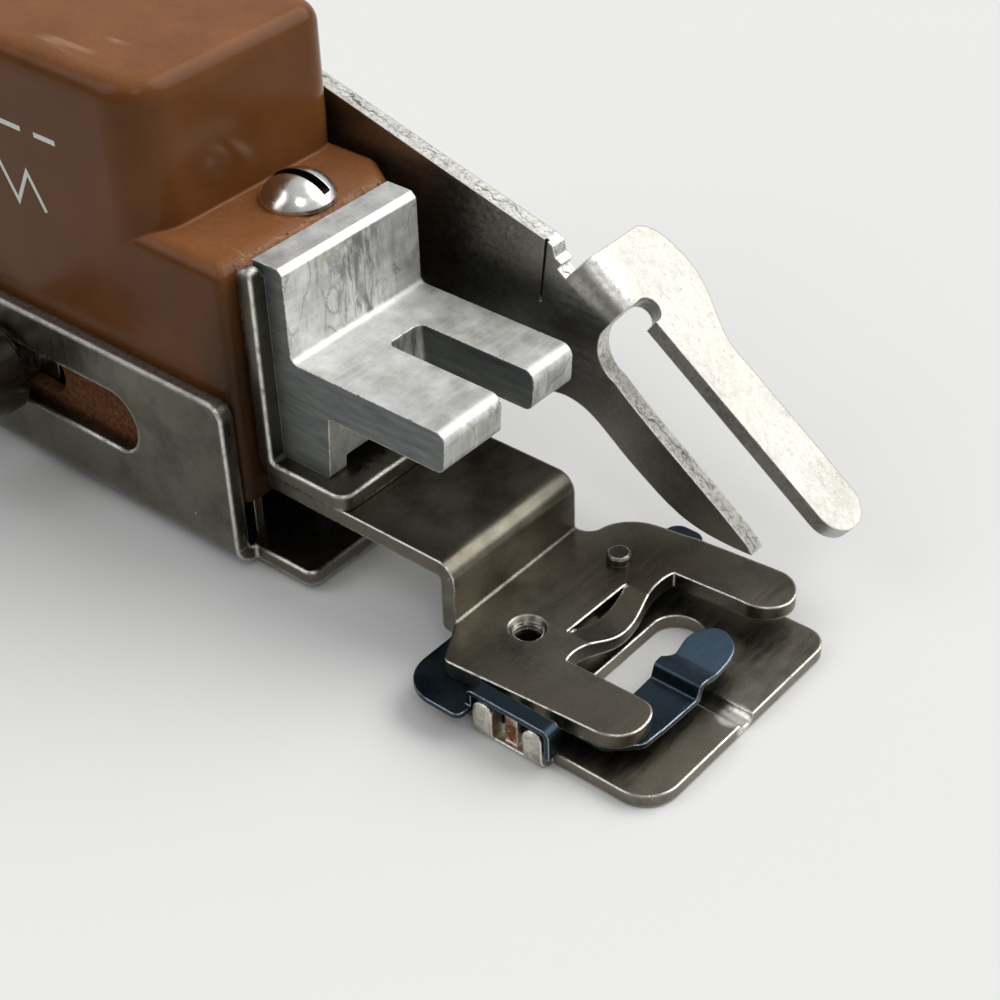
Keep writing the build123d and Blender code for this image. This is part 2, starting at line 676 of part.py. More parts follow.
def cover_screw():
    """Domed slotted screw that holds the ledge down on its pillar."""
    x, y = COVER_SCREW
    radius = 4.2
    height = 3.05
    crown = height - 0.5
    sphere_r = (radius**2 + crown**2) / (2 * crown)
    dome = Pos(x, y, LEDGE_TOP + height - sphere_r) * Sphere(sphere_r)
    dome &= upright(x, y, LEDGE_TOP, LEDGE_TOP + height + 1, radius)
    slot = Pos(x, y, LEDGE_TOP + height) * Rot(0, 0, 14) * Box(12, 1.2, 3.4)
    return dome - slot + upright(x, y, LEDGE_TOP - SHELL - 8.0, LEDGE_TOP, 1.5)


def cover_pillar():
    """Threaded pillar riveted into the tray under the cover screw."""
    x, y = COVER_SCREW
    body = upright(x, y, TRAY_FLOOR, LEDGE_TOP - SHELL, 2.5)
    body += upright(x, y, TRAY_BOTTOM, TRAY_FLOOR, 1.6)
    return body - upright(x, y, LEDGE_TOP - SHELL - 10, LEDGE_TOP, 1.5)


def rear_screws():
    """Two countersunk screws from under the tray into the housing's posts."""
    group = []
    for y in REAR_POST_Y:
        head = Pos(REAR_POST_X, y, TRAY_BOTTOM + 0.55) * Cone(2.5, 1.25, 1.1)
        shank = upright(REAR_POST_X, y, TRAY_BOTTOM + 0.5, TRAY_FLOOR + 7.0, 1.25)
        slot = box(REAR_POST_X - 4, REAR_POST_X + 4, y - 0.3, y + 0.3, 0, TRAY_BOTTOM + 0.5)
        group.append(head + shank - slot)
    return Compound(children=group)


def prong_frame():
    """Place of the upper prong: X down its length, Y across it, Z out of its top face."""
    slope = radians(PRONG_ANGLE)
    return Plane(
        origin=(FLANGE_ROOT[0], 0, FLANGE_ROOT[1]),
        x_dir=(cos(slope), 0, -sin(slope)),
        z_dir=(sin(slope), 0, cos(slope)),
    )


def lever_blank():
    """The flat part of the fork lever seen from its left: arm, neck and lower prong."""
    hub = 9.5
    hub_top = (PIVOT_X + 3.0, PIVOT_Z + 9.0)
    hub_low = (PIVOT_X - 1.0, PIVOT_Z - hub)
    tip_low = [(2.4, 7.4), (7.8, 6.35), (11.9, 6.4)]
    return make_face(
        [
            Line((11.9, 6.4), (11.2, 7.4)),
            Spline((11.2, 7.4), (2.3, 14.1), (-3.1, 18.1), (-6.6, 21.0)),
            Spline((-6.6, 21.0), (-8.5, 22.9), (-8.8, 25.0), (-7.6, 27.6)),
            Line((-7.6, 27.6), (-4.0, 31.0)),
            Line((-4.0, 31.0), (-12.0, 34.0)),
            Line((-12.0, 34.0), (-12.8, 32.6)),
            Line((-12.8, 32.6), (-14.5, 33.5)),
            Line((-14.5, 33.5), (-14.8, 34.8)),
            Line((-14.8, 34.8), (-15.8, 35.3)),
            Line((-15.8, 35.3), hub_top),
            ThreePointArc(hub_top, (PIVOT_X - hub, PIVOT_Z), hub_low),
            Spline(hub_low, (-62.0, 29.0), (-40.0, 19.5), (-22.0, 16.6), (-14.8, 16.3)),
            Spline((-14.8, 16.3), (-10.6, 15.9), (-5.75, 12.5), (-1.6, 9.6), *tip_low),
        ]
    )


def lever_head():
    """The lobe that rolls over from the lever's side face into the flat upper prong."""
    inner = FLANGE_BEND - LEVER_SHEET
    section = rounded(
        [
            (LEVER_NEAR, 0),
            (LOBE_FAR + 1, 0),
            (LOBE_FAR + 1, -LEVER_SHEET),
            (LEVER_FAR, -LEVER_SHEET),
            (LEVER_FAR, -9.0),
            (LEVER_NEAR, -9.0),
        ],
        [FLANGE_BEND, 0, 0, inner, 0, 0],
    )
    frame = prong_frame()
    across = Plane(origin=frame.origin + frame.x_dir * LOBE_BACK, x_dir=(0, 1, 0), z_dir=frame.x_dir)
    roll = extrude(across * section, amount=PRONG_LENGTH - LOBE_BACK)
    mid = (FLANGE_FAR + FLANGE_NEAR) / 2
    straight = PRONG_LENGTH - (FLANGE_FAR - FLANGE_NEAR) / 2
    lobe_end = [(3.6, 33.3), (9.0, FLANGE_FAR)]
    top = make_face(
        [
            Line((LOBE_BACK, LEVER_NEAR - 1), (LOBE_BACK, 33.1)),
            Spline((LOBE_BACK, 33.1), (-8.5, 34.8), (-6.0, 35.5), (-1.8, 35.5), *lobe_end),
            Line((9.0, FLANGE_FAR), (straight, FLANGE_FAR)),
            ThreePointArc((straight, FLANGE_FAR), (PRONG_LENGTH, mid), (straight, FLANGE_NEAR)),
            Line((straight, FLANGE_NEAR), (-0.5, FLANGE_NEAR)),
            ThreePointArc((-0.5, FLANGE_NEAR), (-1.9, FLANGE_NEAR + 1.8), (-3.4, FLANGE_NEAR)),
            Line((-3.4, FLANGE_NEAR), (-3.4, LEVER_NEAR - 1)),
            Line((-3.4, LEVER_NEAR - 1), (LOBE_BACK, LEVER_NEAR - 1)),
        ]
    )
    window = extrude(frame * Pos(0, 0, -12) * top, amount=14)
    return roll & window


def fork_lever():
    """Needle-clamp lever: a tall arm, a lower prong on edge and an upper prong laid flat."""
    body = side(lever_blank(), LEVER_NEAR, LEVER_FAR)
    frame = prong_frame()
    above = extrude(frame * Pos(10, 30, -FLANGE_BEND) * Rectangle(43.0, 60), amount=30)
    body -= above
    body += lever_head()
    crease = rounded([(-15.7, 36.0), (-15.4, 36.0), (-16.5, 27.4), (-16.7, 27.4)], [0, 0, 0, 0])
    body -= side(crease, LEVER_NEAR - 1, LEVER_NEAR + 0.25)
    body -= crosswise(PIVOT_X, 20, 30, PIVOT_Z, SHAFT_R)
    return body


def rocker_shaft():
    """Shaft riveted into the lever, running in the housing's bush and the inner bearing."""
    body = crosswise(PIVOT_X, SHAFT_END, LEVER_FAR + 0.9, PIVOT_Z, SHAFT_R)
    head = crosswise(PIVOT_X, LEVER_FAR, LEVER_FAR + 1.2, PIVOT_Z, SHAFT_R + 2.0)
    return body + chamfer(head.edges().sort_by(Axis.Y)[-1], 0.6)


def shaft_bush():
    """Brass bush in the housing's right wall."""
    body = crosswise(PIVOT_X, HOUSING_RIGHT - SHELL, HOUSING_RIGHT + 0.2, PIVOT_Z, SHAFT_R + 1.5)
    body += crosswise(PIVOT_X, HOUSING_RIGHT - SHELL - 1.0, HOUSING_RIGHT - SHELL, PIVOT_Z, SHAFT_R + 2.8)
    return body - crosswise(PIVOT_X, 10, 30, PIVOT_Z, SHAFT_R + RUN)


def bearing_post():
    """Steel post on the tray floor that carries the shaft's inner end."""
    profile = rounded(
        [
            (POST_BACK, TRAY_FLOOR),
            (POST_FRONT, TRAY_FLOOR),
            (POST_FRONT, PIVOT_Z - 6.2),
            (PIVOT_X + 5.2, PIVOT_Z - 3.2),
            (PIVOT_X + 5.2, PIVOT_Z + 5.2),
            (POST_BACK, PIVOT_Z + 5.2),
        ],
        [0, 0, 2.0, 1.5, 4.0, 4.0],
    )
    body = side(profile, BEARING_BACK, BEARING_FRONT)
    foot_left = BEARING_BACK - 3.0
    body += box(POST_BACK, POST_FRONT, foot_left, BEARING_BACK, TRAY_FLOOR, TRAY_FLOOR + 1.5)
    return body - crosswise(PIVOT_X, 0, 20, PIVOT_Z, SHAFT_R + RUN)


def crank_point(angle):
    """Where the crank pin stands when the lever has turned by an angle in degrees."""
    swing = radians(angle - LEVER_LIFT / 2)
    return PIVOT_X + CRANK_R * sin(swing), PIVOT_Z - CRANK_R * cos(swing)


def crank_arm():
    """Crank clamped to the shaft, with a sleeve that the return spring sits on."""
    x, z = crank_point(0)
    lean = degrees(atan2(PIVOT_X - x, PIVOT_Z - z))
    bar = box(-2.2, 2.2, 0, CRANK_FAR - CRANK_NEAR, -CRANK_R, 0)
    bar = Pos(PIVOT_X, CRANK_NEAR, PIVOT_Z) * Rot(0, lean, 0) * bar
    body = bar + crosswise(PIVOT_X, CRANK_NEAR, CRANK_FAR, PIVOT_Z, 4.6)
    body += crosswise(x, CRANK_NEAR, CRANK_FAR, z, 2.2)
    body += crosswise(PIVOT_X, BEARING_FRONT + 0.2, CRANK_NEAR, PIVOT_Z, SLEEVE_R)
    body -= crosswise(PIVOT_X, 0, 30, PIVOT_Z, SHAFT_R)
    return body + crosswise(x, CRANK_FAR, PAWL_FAR + 0.2, z, 0.9)


def return_spring():
    """Torsion spring of flat wire on the crank's sleeve."""
    turns = 2.5
    wire = 0.4
    radius = SLEEVE_R + wire + 2 * RUN
    pitch = 1.15
    path = Helix(pitch=pitch, height=pitch * turns, radius=radius)
    section = Plane(path @ 0, z_dir=path % 0) * Rectangle(2 * wire, 1.6 * wire)
    coil = sweep(section, path=path, is_frenet=True)
    return Pos(PIVOT_X, BEARING_FRONT + 0.25 + wire + pitch * turns, PIVOT_Z) * Rot(90, 0, 0) * coil


def drive_pawl():
    """Pawl on the crank pin; its nose pushes one ratchet tooth at each lift of the lever."""
    x, z = crank_point(0)
    nose = WHEEL_X - DRIVE_R * sin(radians(180 / TEETH)) - PAWL_BACKLASH
    root = WHEEL_Y + ROOT_R + 0.6
    shape = rounded(
        [
            (x, PAWL_NEAR),
            (nose - 2.6, PAWL_NEAR),
            (nose - 0.7, root),
            (nose, root),
            (nose, PAWL_FAR),
            (x, PAWL_FAR),
        ],
        [0, 0.5, 0.1, 0.1, 1.5, 0],
    )
    body = plate(shape, WHEEL_Z + 0.1, WHEEL_Z + WHEEL_THICK - 0.1)
    body += crosswise(x, PAWL_NEAR, PAWL_FAR, z, 2.1)
    return body - crosswise(x, 0, 30, z, 0.9 + RUN)


def ratchet_outline():
    """Sixteen saw teeth whose steep faces look backward on the wheel's right side."""
    points = []
    step = 2 * pi / TEETH
    for tooth in range(TEETH):
        face = (tooth - 0.5) * step
        points.append((TIP_R * sin(face), TIP_R * cos(face)))
        points.append((ROOT_R * sin(face + step), ROOT_R * cos(face + step)))
    return make_face(Polyline(*points, close=True))


def ratchet_wheel():
    """Ratchet wheel on the hub."""
    body = plate(Pos(WHEEL_X, WHEEL_Y) * ratchet_outline(), WHEEL_Z, WHEEL_Z + WHEEL_THICK)
    return body - upright(WHEEL_X, WHEEL_Y, 0, 60, HUB_R)


def stitch_cam():
    """Eight-lobed cam with an even rise, one valley or one top for each tooth."""
    points = []
    for corner in range(2 * CAM_LOBES):
        angle = corner * pi / CAM_LOBES
        radius = CAM_VALLEY + (CAM_RISE if corner % 2 else 0)
        points.append((radius * sin(angle), -radius * cos(angle)))
    shape = make_face(Polyline(*points, close=True))
    middle = CAM_VALLEY + CAM_RISE / 2
    tops = [corner for corner in shape.vertices() if hypot(corner.X, corner.Y) > middle]
    shape = fillet(tops, 0.5)
    body = plate(Pos(WHEEL_X, WHEEL_Y) * shape, WHEEL_Z - 4.2, WHEEL_Z - 0.2)
    return body - upright(WHEEL_X, WHEEL_Y, 0, 60, HUB_R)


def wheel_hub():
    """Brass hub that carries ratchet and cam on the axle."""
    body = upright(WHEEL_X, WHEEL_Y, WHEEL_Z - 4.2, WHEEL_Z + WHEEL_THICK + 0.8, HUB_R)
    body += upright(WHEEL_X, WHEEL_Y, WHEEL_Z - 5.4, WHEEL_Z - 4.2, HUB_R + 0.8)
    return body - upright(WHEEL_X, WHEEL_Y, 0, 60, AXLE_R + RUN)


def wheel_axle():
    """Stud riveted into the tray, with a shoulder under the hub."""
    body = upright(WHEEL_X, WHEEL_Y, TRAY_FLOOR, WHEEL_Z - 5.5, 3.2)
    body += upright(WHEEL_X, WHEEL_Y, WHEEL_Z - 5.5, WHEEL_Z + WHEEL_THICK + 3.0, AXLE_R)
    body += upright(WHEEL_X, WHEEL_Y, TRAY_BOTTOM, TRAY_FLOOR, 1.6)
    groove = upright(WHEEL_X, WHEEL_Y, WHEEL_Z + WHEEL_THICK + 1.0, WHEEL_Z + WHEEL_THICK + 1.6, AXLE_R + 1)
    groove -= upright(WHEEL_X, WHEEL_Y, 0, 60, AXLE_R - 0.4)
    return body - groove


def snap_ring(x, y, z0, z1, inner, outer):
    """An open retaining ring."""
    ring = upright(x, y, z0, z1, outer) - upright(x, y, z0 - 1, z1 + 1, inner)
    return ring - box(x, x + outer + 1, y - inner * 0.7, y + inner * 0.7, z0 - 1, z1 + 1)


def axle_clips():
    """Retaining rings on the wheel axle and on the follower's pin."""
    level = WHEEL_Z + WHEEL_THICK + 1.0
    wheel = snap_ring(WHEEL_X, WHEEL_Y, level + 0.05, level + 0.55, AXLE_R - 0.4, AXLE_R + 1.3)
    level = FOLLOWER_Z + FOLLOWER_THICK + 0.4
    follower = snap_ring(FOLLOWER_X, FOLLOWER_Y, level + 0.05, level + 0.55, 1.1, 2.6)
    return Compound(children=[wheel, follower])


def click_spring():
    """Leaf on the tray that rides on the ratchet's tips and keeps the wheel from turning back."""
    reach = WHEEL_X + TIP_R + 0.3
    blade = rounded(
        [
            (reach + 1.0, WHEEL_Y + 8.5),
            (reach + 1.8, WHEEL_Y + 8.5),
            (reach + 1.6, WHEEL_Y + 3.0),
            (reach + 0.7, WHEEL_Y + 1.5),
            (reach + 0.05, WHEEL_Y + 1.7),
            (reach + 0.8, WHEEL_Y + 3.4),
        ],
        [0, 0, 1.2, 0.15, 0.1, 1.0],
    )
    body = plate(blade, WHEEL_Z - 0.5, WHEEL_Z + WHEEL_THICK + 0.5)
    body += box(reach + 1.0, reach + 1.8, WHEEL_Y + 5.5, WHEEL_Y + 8.5, TRAY_FLOOR, WHEEL_Z + 1)
    body += box(reach + 1.0, reach + 5.5, WHEEL_Y + 5.5, WHEEL_Y + 8.5, TRAY_FLOOR, TRAY_FLOOR + 0.8)
    return body


def follower_lever():
    """Flat lever from the cam to the foot's link pin, forked at its front end."""
    back = WHEEL_X - 2.4
    front = LINK_PIN_X + 3.0
    shape = outline(back, front, FOLLOWER_Y - 2.4, FOLLOWER_Y + 2.4, 2.0)
    shape += Pos(FOLLOWER_X, FOLLOWER_Y) * Circle(3.4)
    body = plate(shape, FOLLOWER_Z, FOLLOWER_Z + FOLLOWER_THICK)
    fork = outline(LINK_PIN_X - 1.9, front + 3, FOLLOWER_Y - 1.42, FOLLOWER_Y + 1.42, 0.6)
    body -= plate(fork, FOLLOWER_Z - 1, FOLLOWER_Z + FOLLOWER_THICK + 1)
    body -= upright(FOLLOWER_X, FOLLOWER_Y, 0, 60, 1.5 + RUN)
    return body - upright(WHEEL_X, FOLLOWER_Y, 0, 60, 0.8)


def follower_nose():
    """Hardened peg that follows the cam."""
    body = upright(WHEEL_X, FOLLOWER_Y, FOLLOWER_Z + FOLLOWER_THICK, WHEEL_Z - 0.6, NOSE_R)
    return body + upright(WHEEL_X, FOLLOWER_Y, FOLLOWER_Z, FOLLOWER_Z + FOLLOWER_THICK, 0.8)


def follower_pin():
    """Shouldered stud that the follower turns on."""
    body = upright(FOLLOWER_X, FOLLOWER_Y, TRAY_FLOOR, FOLLOWER_Z - 0.05, 2.4)
    body += upright(FOLLOWER_X, FOLLOWER_Y, FOLLOWER_Z - 0.05, FOLLOWER_Z + FOLLOWER_THICK + 1.6, 1.5)
    body += upright(FOLLOWER_X, FOLLOWER_Y, TRAY_BOTTOM, TRAY_FLOOR, 1.2)
    level = FOLLOWER_Z + FOLLOWER_THICK + 0.4
    groove = upright(FOLLOWER_X, FOLLOWER_Y, level, level + 0.6, 3)
    return body - (groove - upright(FOLLOWER_X, FOLLOWER_Y, 0, 60, 1.1))


def slide_guide():
    """Bridge on the tray floor that the foot strap's tail slides on."""
    top = STRAP_TOP - SHEET - 0.05
    back = TAIL_BACK + 1.0
    front = HOUSING_FRONT - SHELL - 0.2
    left = TAIL_LEFT - 2.0
    right = COVER_SCREW[1] - 2.8
    bridge = rounded(
        [
            (left, TRAY_FLOOR),
            (left, top),
            (right, top),
            (right, TRAY_FLOOR),
            (right - 1.2, TRAY_FLOOR),
            (right - 1.2, top - 1.2),
            (left + 1.2, top - 1.2),
            (left + 1.2, TRAY_FLOOR),
        ],
        [0, 1.5, 1.5, 0, 0, 0.3, 0.3, 0],
    )
    return across(bridge, back, front)


def width_stud():
    """Stud through the slots of tray and housing, threaded for the knob."""
    body = crosswise(KNOB_X, TRAY_LEFT - 0.6, HOUSING_LEFT + SHELL + 0.15, WIDTH_SLOT_Z, STUD_R)
    return body + crosswise(KNOB_X, KNOB_END + 3, TRAY_LEFT - 0.6, WIDTH_SLOT_Z, THREAD_R)


def width_stop():
    """Sliding stop plate inside the housing wall that limits the follower's swing."""
    near = HOUSING_LEFT + SHELL + 0.15
    shape = rounded(
        [
            (KNOB_X - 4.5, WIDTH_SLOT_Z - 3.6),
            (KNOB_X + 4.5, WIDTH_SLOT_Z - 3.6),
            (KNOB_X + 4.5, FOLLOWER_Z - 2.5),
            (KNOB_X + 10.0, FOLLOWER_Z - 1.5),
            (KNOB_X + 10.0, FOLLOWER_Z + 2.5),
            (KNOB_X - 4.5, FOLLOWER_Z + 2.5),
        ],
        [1.5, 1.5, 1.0, 1.0, 1.0, 1.5],
    )
    return side(shape, near, near + 1.4)


def width_knob():
    """Turned knob with a chamfered end and one groove, threaded on the stud."""
    near = TRAY_LEFT - 0.7
    body = crosswise(KNOB_X, KNOB_END, near, WIDTH_SLOT_Z, KNOB_R)
    body = chamfer(body.edges().group_by(Axis.Y)[0], 0.9)
    body = chamfer(body.edges().group_by(Axis.Y)[-1], 0.3)
    groove = crosswise(KNOB_X, KNOB_END + 2.4, KNOB_END + 3.0, WIDTH_SLOT_Z, KNOB_R + 1)
    body -= groove - crosswise(KNOB_X, KNOB_END, near, WIDTH_SLOT_Z, KNOB_R - 0.4)
    return body - crosswise(KNOB_X, KNOB_END + 2.5, near + 1, WIDTH_SLOT_Z, THREAD_R + RUN)


def knob_washer():
    """Washer on the stud between knob and tray."""
    body = crosswise(KNOB_X, TRAY_LEFT - 0.6, TRAY_LEFT - 0.05, WIDTH_SLOT_Z, 4.7)
    return body - crosswise(KNOB_X, TRAY_LEFT - 1, TRAY_LEFT + 1, WIDTH_SLOT_Z, STUD_R)


PARTS = {
    "base_tray": base_tray,
    "housing": housing,
    "cover_screw": cover_screw,
    "cover_pillar": cover_pillar,
    "rear_screws": rear_screws,
    "angle_bracket": angle_bracket,
    "presser_yoke": presser_yoke,
    "yoke_screws": yoke_screws,
    "slide_guide": slide_guide,
    "foot_arm": foot_arm,
    "foot_rivet": foot_rivet,
    "link_pin": link_pin,
    "sole_plate": sole_plate,
    "finger_spring": finger_spring,
    "fork_lever": fork_lever,
    "rocker_shaft": rocker_shaft,
    "shaft_bush": shaft_bush,
    "bearing_post": bearing_post,
    "crank_arm": crank_arm,
    "return_spring": return_spring,
    "drive_pawl": drive_pawl,
    "ratchet_wheel": ratchet_wheel,
    "stitch_cam": stitch_cam,
    "wheel_hub": wheel_hub,
    "wheel_axle": wheel_axle,
    "axle_clips": axle_clips,
    "click_spring": click_spring,
    "follower_lever": follower_lever,
    "follower_nose": follower_nose,
    "follower_pin": follower_pin,
    "width_stud": width_stud,
    "width_stop": width_stop,
    "width_knob": width_knob,
    "knob_washer": knob_washer,
}

os.makedirs("parts", exist_ok=True)
for name, make in PARTS.items():
    save(make(), name)
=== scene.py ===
import random
from math import cos, pi, radians, sin

import bmesh
import bpy
from mathutils import Matrix, Vector


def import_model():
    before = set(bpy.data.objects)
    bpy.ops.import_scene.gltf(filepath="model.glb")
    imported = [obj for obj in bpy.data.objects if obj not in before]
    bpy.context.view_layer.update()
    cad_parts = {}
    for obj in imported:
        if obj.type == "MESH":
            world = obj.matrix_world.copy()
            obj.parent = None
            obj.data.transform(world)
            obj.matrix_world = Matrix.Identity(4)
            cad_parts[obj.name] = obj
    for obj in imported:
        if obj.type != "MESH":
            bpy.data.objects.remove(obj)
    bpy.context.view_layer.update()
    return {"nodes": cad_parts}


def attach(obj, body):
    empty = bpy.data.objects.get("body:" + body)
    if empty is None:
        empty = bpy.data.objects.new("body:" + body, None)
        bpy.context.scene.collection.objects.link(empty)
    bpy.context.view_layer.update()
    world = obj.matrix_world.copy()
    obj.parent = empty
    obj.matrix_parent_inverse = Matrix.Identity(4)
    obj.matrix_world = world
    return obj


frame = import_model()
nodes = frame["nodes"]

MM = 0.001

# ---- the photograph's viewpoint ----
CAMERA_AT = Vector((102.455, -120.673, 144.347)) * MM
CAMERA_RIGHT = Vector((0.76664, 0.64142, -0.02903))
CAMERA_UP = Vector((-0.37406, 0.48291, 0.79176))
CAMERA_AHEAD = Vector((-0.52187, 0.59613, -0.61015))
FOCAL_PIXELS = 2040
FRAME_PIXELS = 1000
SENSOR = 36.0
NEAREST = 0.005

# ---- light: a lamp is its name, the direction it stands in, width in degrees, strength and colour ----
KEY_AT = Vector((0.31, 0.46, 0.52))
LAMPS = (
    ("key", KEY_AT, 56, 1.95, (1.0, 0.99, 0.97)),
    ("fill", Vector((-0.32, -0.40, 0.43)), 42, 0.65, (0.96, 0.98, 1.0)),
    ("front", Vector((0.34, -0.27, 0.53)), 19, 0.27, (1.0, 1.0, 1.0)),
)
SKY_DIM = 0.12
SKY_BRIGHT = 0.7
HORIZON_PALE = 0.80
HORIZON_FADES_FROM = 0.05
HORIZON_GONE_AT = 0.3
HORIZON_MIRRORED = 0.45
FLOOR_HALF = 3.0

# ---- places on the CAD's solids, in millimetres ----
HOUSING_LEFT = -6.05
TRAY_WALL_TOP = 22.8
LEDGE_EDGE = (-34.7, 37.5)
LEDGE_EDGE_FALL = 1.2
COVER_SCREW = (-39.0, 10.3)
COVER_SLOT_TURN = 14.0
COVER_SLOT_HALF = 0.64
COVER_SLOT_FLOOR = 39.65
CREASE_TOP = (-15.55, 36.0)
CREASE_LOW = (-16.6, 27.4)
PRONG_ANGLE = 36.2
WEB_MIDDLE = 24.1
WEB_FAR = 25.1

# ---- the thread in the foot plate's hole, in millimetres ----
FOOT_LOW = 3.8
THREAD_TOP = 5.3
THREAD_R = 1.66
THREAD_CREST_R = 1.44
THREAD_PITCH = 0.5
THREAD_BACK = 0.01

# ---- wear, dirt, and places of painted light and shade, in millimetres ----
CRACK_WANDER = 0.7
SCUFFED_MIDDLE = 8.6
SCUFFED_HALF = 4.6
# where the housing's rusty rear ends and the painted shade on its front begins
RUST_AND_SHADE_SPLIT = -40.0
RUSTY_BELOW = 23.5
RUSTIEST = 20.5
# heights between which the housing's front darkens: painted shade
SHADED_BELOW = 38.0
SHADIEST = 26.0
FINGER_PAD = (15.9, 9.9, 3.2)
SOLE_TAB = (6.1, -11.0, 3.2)
SOLE_RUST = (6.0, -10.8, 2.3)
SOLE_STAIN = (15.0, -7.2, 1.7)
GROOVE_END = (21.7, 5.9, 1.0)
# the lever web's darker patch around here is painted shade
WEB_SHADE = (-24.8, 24.0, 32.7)
WEB_BEND = (-11.0, 24.5, 30.0)
LEDGE_DUST_ENDS = (-3.2, 18.6)
SEAM_DUST_ENDS = (-89.0, -35.6)
SEAM_Y = -6.22
SEAM_DEPTH = 0.7
DUST_STEP = 0.34
DUST_ROOT = 0.5

# ---- printed signs, in millimetres, with places as X and Z ----
INK_SUNK = 0.02
INK_PROUD = 0.03
ZIGZAG_AT = (-84.2, 36.2)
ZIGZAG_STEP = (2.3, 4.2)
ZIGZAG_POINTS = 11
ZIGZAG_WIDTH = 0.5
DASH_AT = (-83.4, 45.6)
DASH_PITCH = 5.6
DASH_LENGTH = 3.4
DASH_WIDTH = 0.6
DASHES = 5

# ---- colours that more than one material has ----
NICKEL = (0.86, 0.84, 0.78)
STEEL_DARK = (0.077, 0.068, 0.051)
STEEL_LIGHT = (0.225, 0.212, 0.172)


# ---- stage ----
def place_camera():
    """The photograph's viewpoint."""
    data = bpy.data.cameras.new("camera")
    data.sensor_width = SENSOR
    data.lens = SENSOR * FOCAL_PIXELS / FRAME_PIXELS
    data.clip_start = NEAREST
    camera = bpy.data.objects.new("camera", data)
    turn = Matrix((CAMERA_RIGHT, CAMERA_UP, -CAMERA_AHEAD)).transposed().to_4x4()
    camera.matrix_world = Matrix.Translation(CAMERA_AT) @ turn
    bpy.context.scene.collection.objects.link(camera)
    bpy.context.scene.camera = camera


def soft_light(name, source, width, strength, colour):
    """A large distant lamp that stands in the direction of source."""
    data = bpy.data.lights.new(name, "SUN")
    data.angle = radians(width)
    data.energy = strength
    data.color = colour
    lamp = bpy.data.objects.new(name, data)
    lamp.location = source
    lamp.rotation_euler = (-source).to_track_quat("-Z", "Y").to_euler()
    bpy.context.scene.collection.objects.link(lamp)


def rgb(red, green, blue):
    return (red, green, blue, 1.0)


def tinted(colour, factors):
    """A colour with each part multiplied by its factor."""
    return rgb(*(part * factor for part, factor in zip(colour, factors)))


class Graph:
    """Adds shader nodes to a material or a world."""

    def __init__(self, owner, shader):
        owner.use_nodes = True
        self.owner = owner
        self.tree = owner.node_tree
        self.shader = self.tree.nodes[shader]
        self.places = self.add("TexCoord").outputs

    def add(self, kind, inputs=None, **settings):
        node = self.tree.nodes.new("ShaderNode" + kind)
        for key, value in settings.items():
            setattr(node, key, value)
        for key, value in (inputs or {}).items():
            self.set(node, key, value)
        return node

    def set(self, node, key, value):
        """Links a socket, or sets a plain value."""
        if isinstance(value, bpy.types.NodeSocket):
            self.tree.links.new(value, node.inputs[key])
        else:
            node.inputs[key].default_value = value

    def put(self, key, value):
        self.set(self.shader, key, value)

    def noise(self, scale, detail=4.0, rough=0.55, stretch=(1, 1, 1)):
        """Noise in object space; scale is in features a metre, stretch below 1 draws it out."""
        place = self.add("Mapping", {"Vector": self.places["Object"], "Scale": stretch})
        inputs = {"Vector": place.outputs["Vector"], "Scale": scale, "Detail": detail, "Roughness": rough}
        return self.add("TexNoise", inputs).outputs["Fac"]

    def along(self, axis, source="Object"):
        """One coordinate in metres, or one component of the normal or of a world direction."""
        return self.add("SeparateXYZ", {"Vector": self.places[source]}).outputs[axis]

    def dot(self, first, second):
        return self.add("VectorMath", {0: first, 1: second}, operation="DOT_PRODUCT").outputs["Value"]

    def facing(self, direction):
        """How far the surface looks along a direction or against it: 1 when it does, 0 when square to it."""
        return self.math("ABSOLUTE", self.dot(self.places["Normal"], direction))

    def near(self, point, radius):
        """A spot that is 1 around a point and falls to 0 at a radius; both in millimetres."""
        ends = {0: self.places["Object"], 1: Vector(point) * MM}
        reach = self.add("VectorMath", ends, operation="DISTANCE").outputs["Value"]
        return self.span(reach, radius * MM, radius * MM * 0.3)

    def ramp(self, factor, low, high, start, end):
        """A colour that goes from start to end as the factor goes from low to high."""
        node = self.add("ValToRGB", {"Fac": factor})
        node.color_ramp.elements[0].position = low
        node.color_ramp.elements[0].color = start
        node.color_ramp.elements[1].position = high
        node.color_ramp.elements[1].color = end
        return node.outputs["Color"]

    def span(self, factor, low, high, start=0.0, end=1.0):
        """A number that goes from start to end as the factor goes from low to high."""
        inputs = {"Value": factor, "From Min": low, "From Max": high, "To Min": start, "To Max": end}
        return self.add("MapRange", inputs).outputs["Result"]

    def blend(self, factor, first, second):
        """The first colour where the factor is 0, and the second where it is 1."""
        return self.add("Mix", {0: factor, 6: first, 7: second}, data_type="RGBA").outputs[2]

    def math(self, operation, first, second=0.0):
        return self.add("Math", {0: first, 1: second}, operation=operation).outputs[0]

    def plus(self, first, second):
        return self.math("ADD", first, second)

    def minus(self, first, second):
        return self.math("SUBTRACT", first, second)

    def times(self, first, second):
        return self.math("MULTIPLY", first, second)

    def away(self, value, middle):
        """How far a value is from a middle."""
        return self.math("ABSOLUTE", self.minus(value, middle))

    def edges(self, radius):
        """(normal rounded over the edges, mask that is 1 on them); the radius is in millimetres."""
        rounded = self.add("Bevel", {"Radius": radius * MM}, samples=6).outputs["Normal"]
        plain = self.add("NewGeometry").outputs["Normal"]
        return rounded, self.span(self.dot(rounded, plain), 0.995, 0.9)

    def bump(self, height, strength, distance, normal=None):
        """The normal that a height gives; the distance is in millimetres."""
        inputs = {"Height": height, "Strength": strength, "Distance": distance * MM}
        if normal is not None:
            inputs["Normal"] = normal
        return self.add("Bump", inputs).outputs["Normal"]


def new_material(name):
    return Graph(bpy.data.materials.new(name), "Principled BSDF")


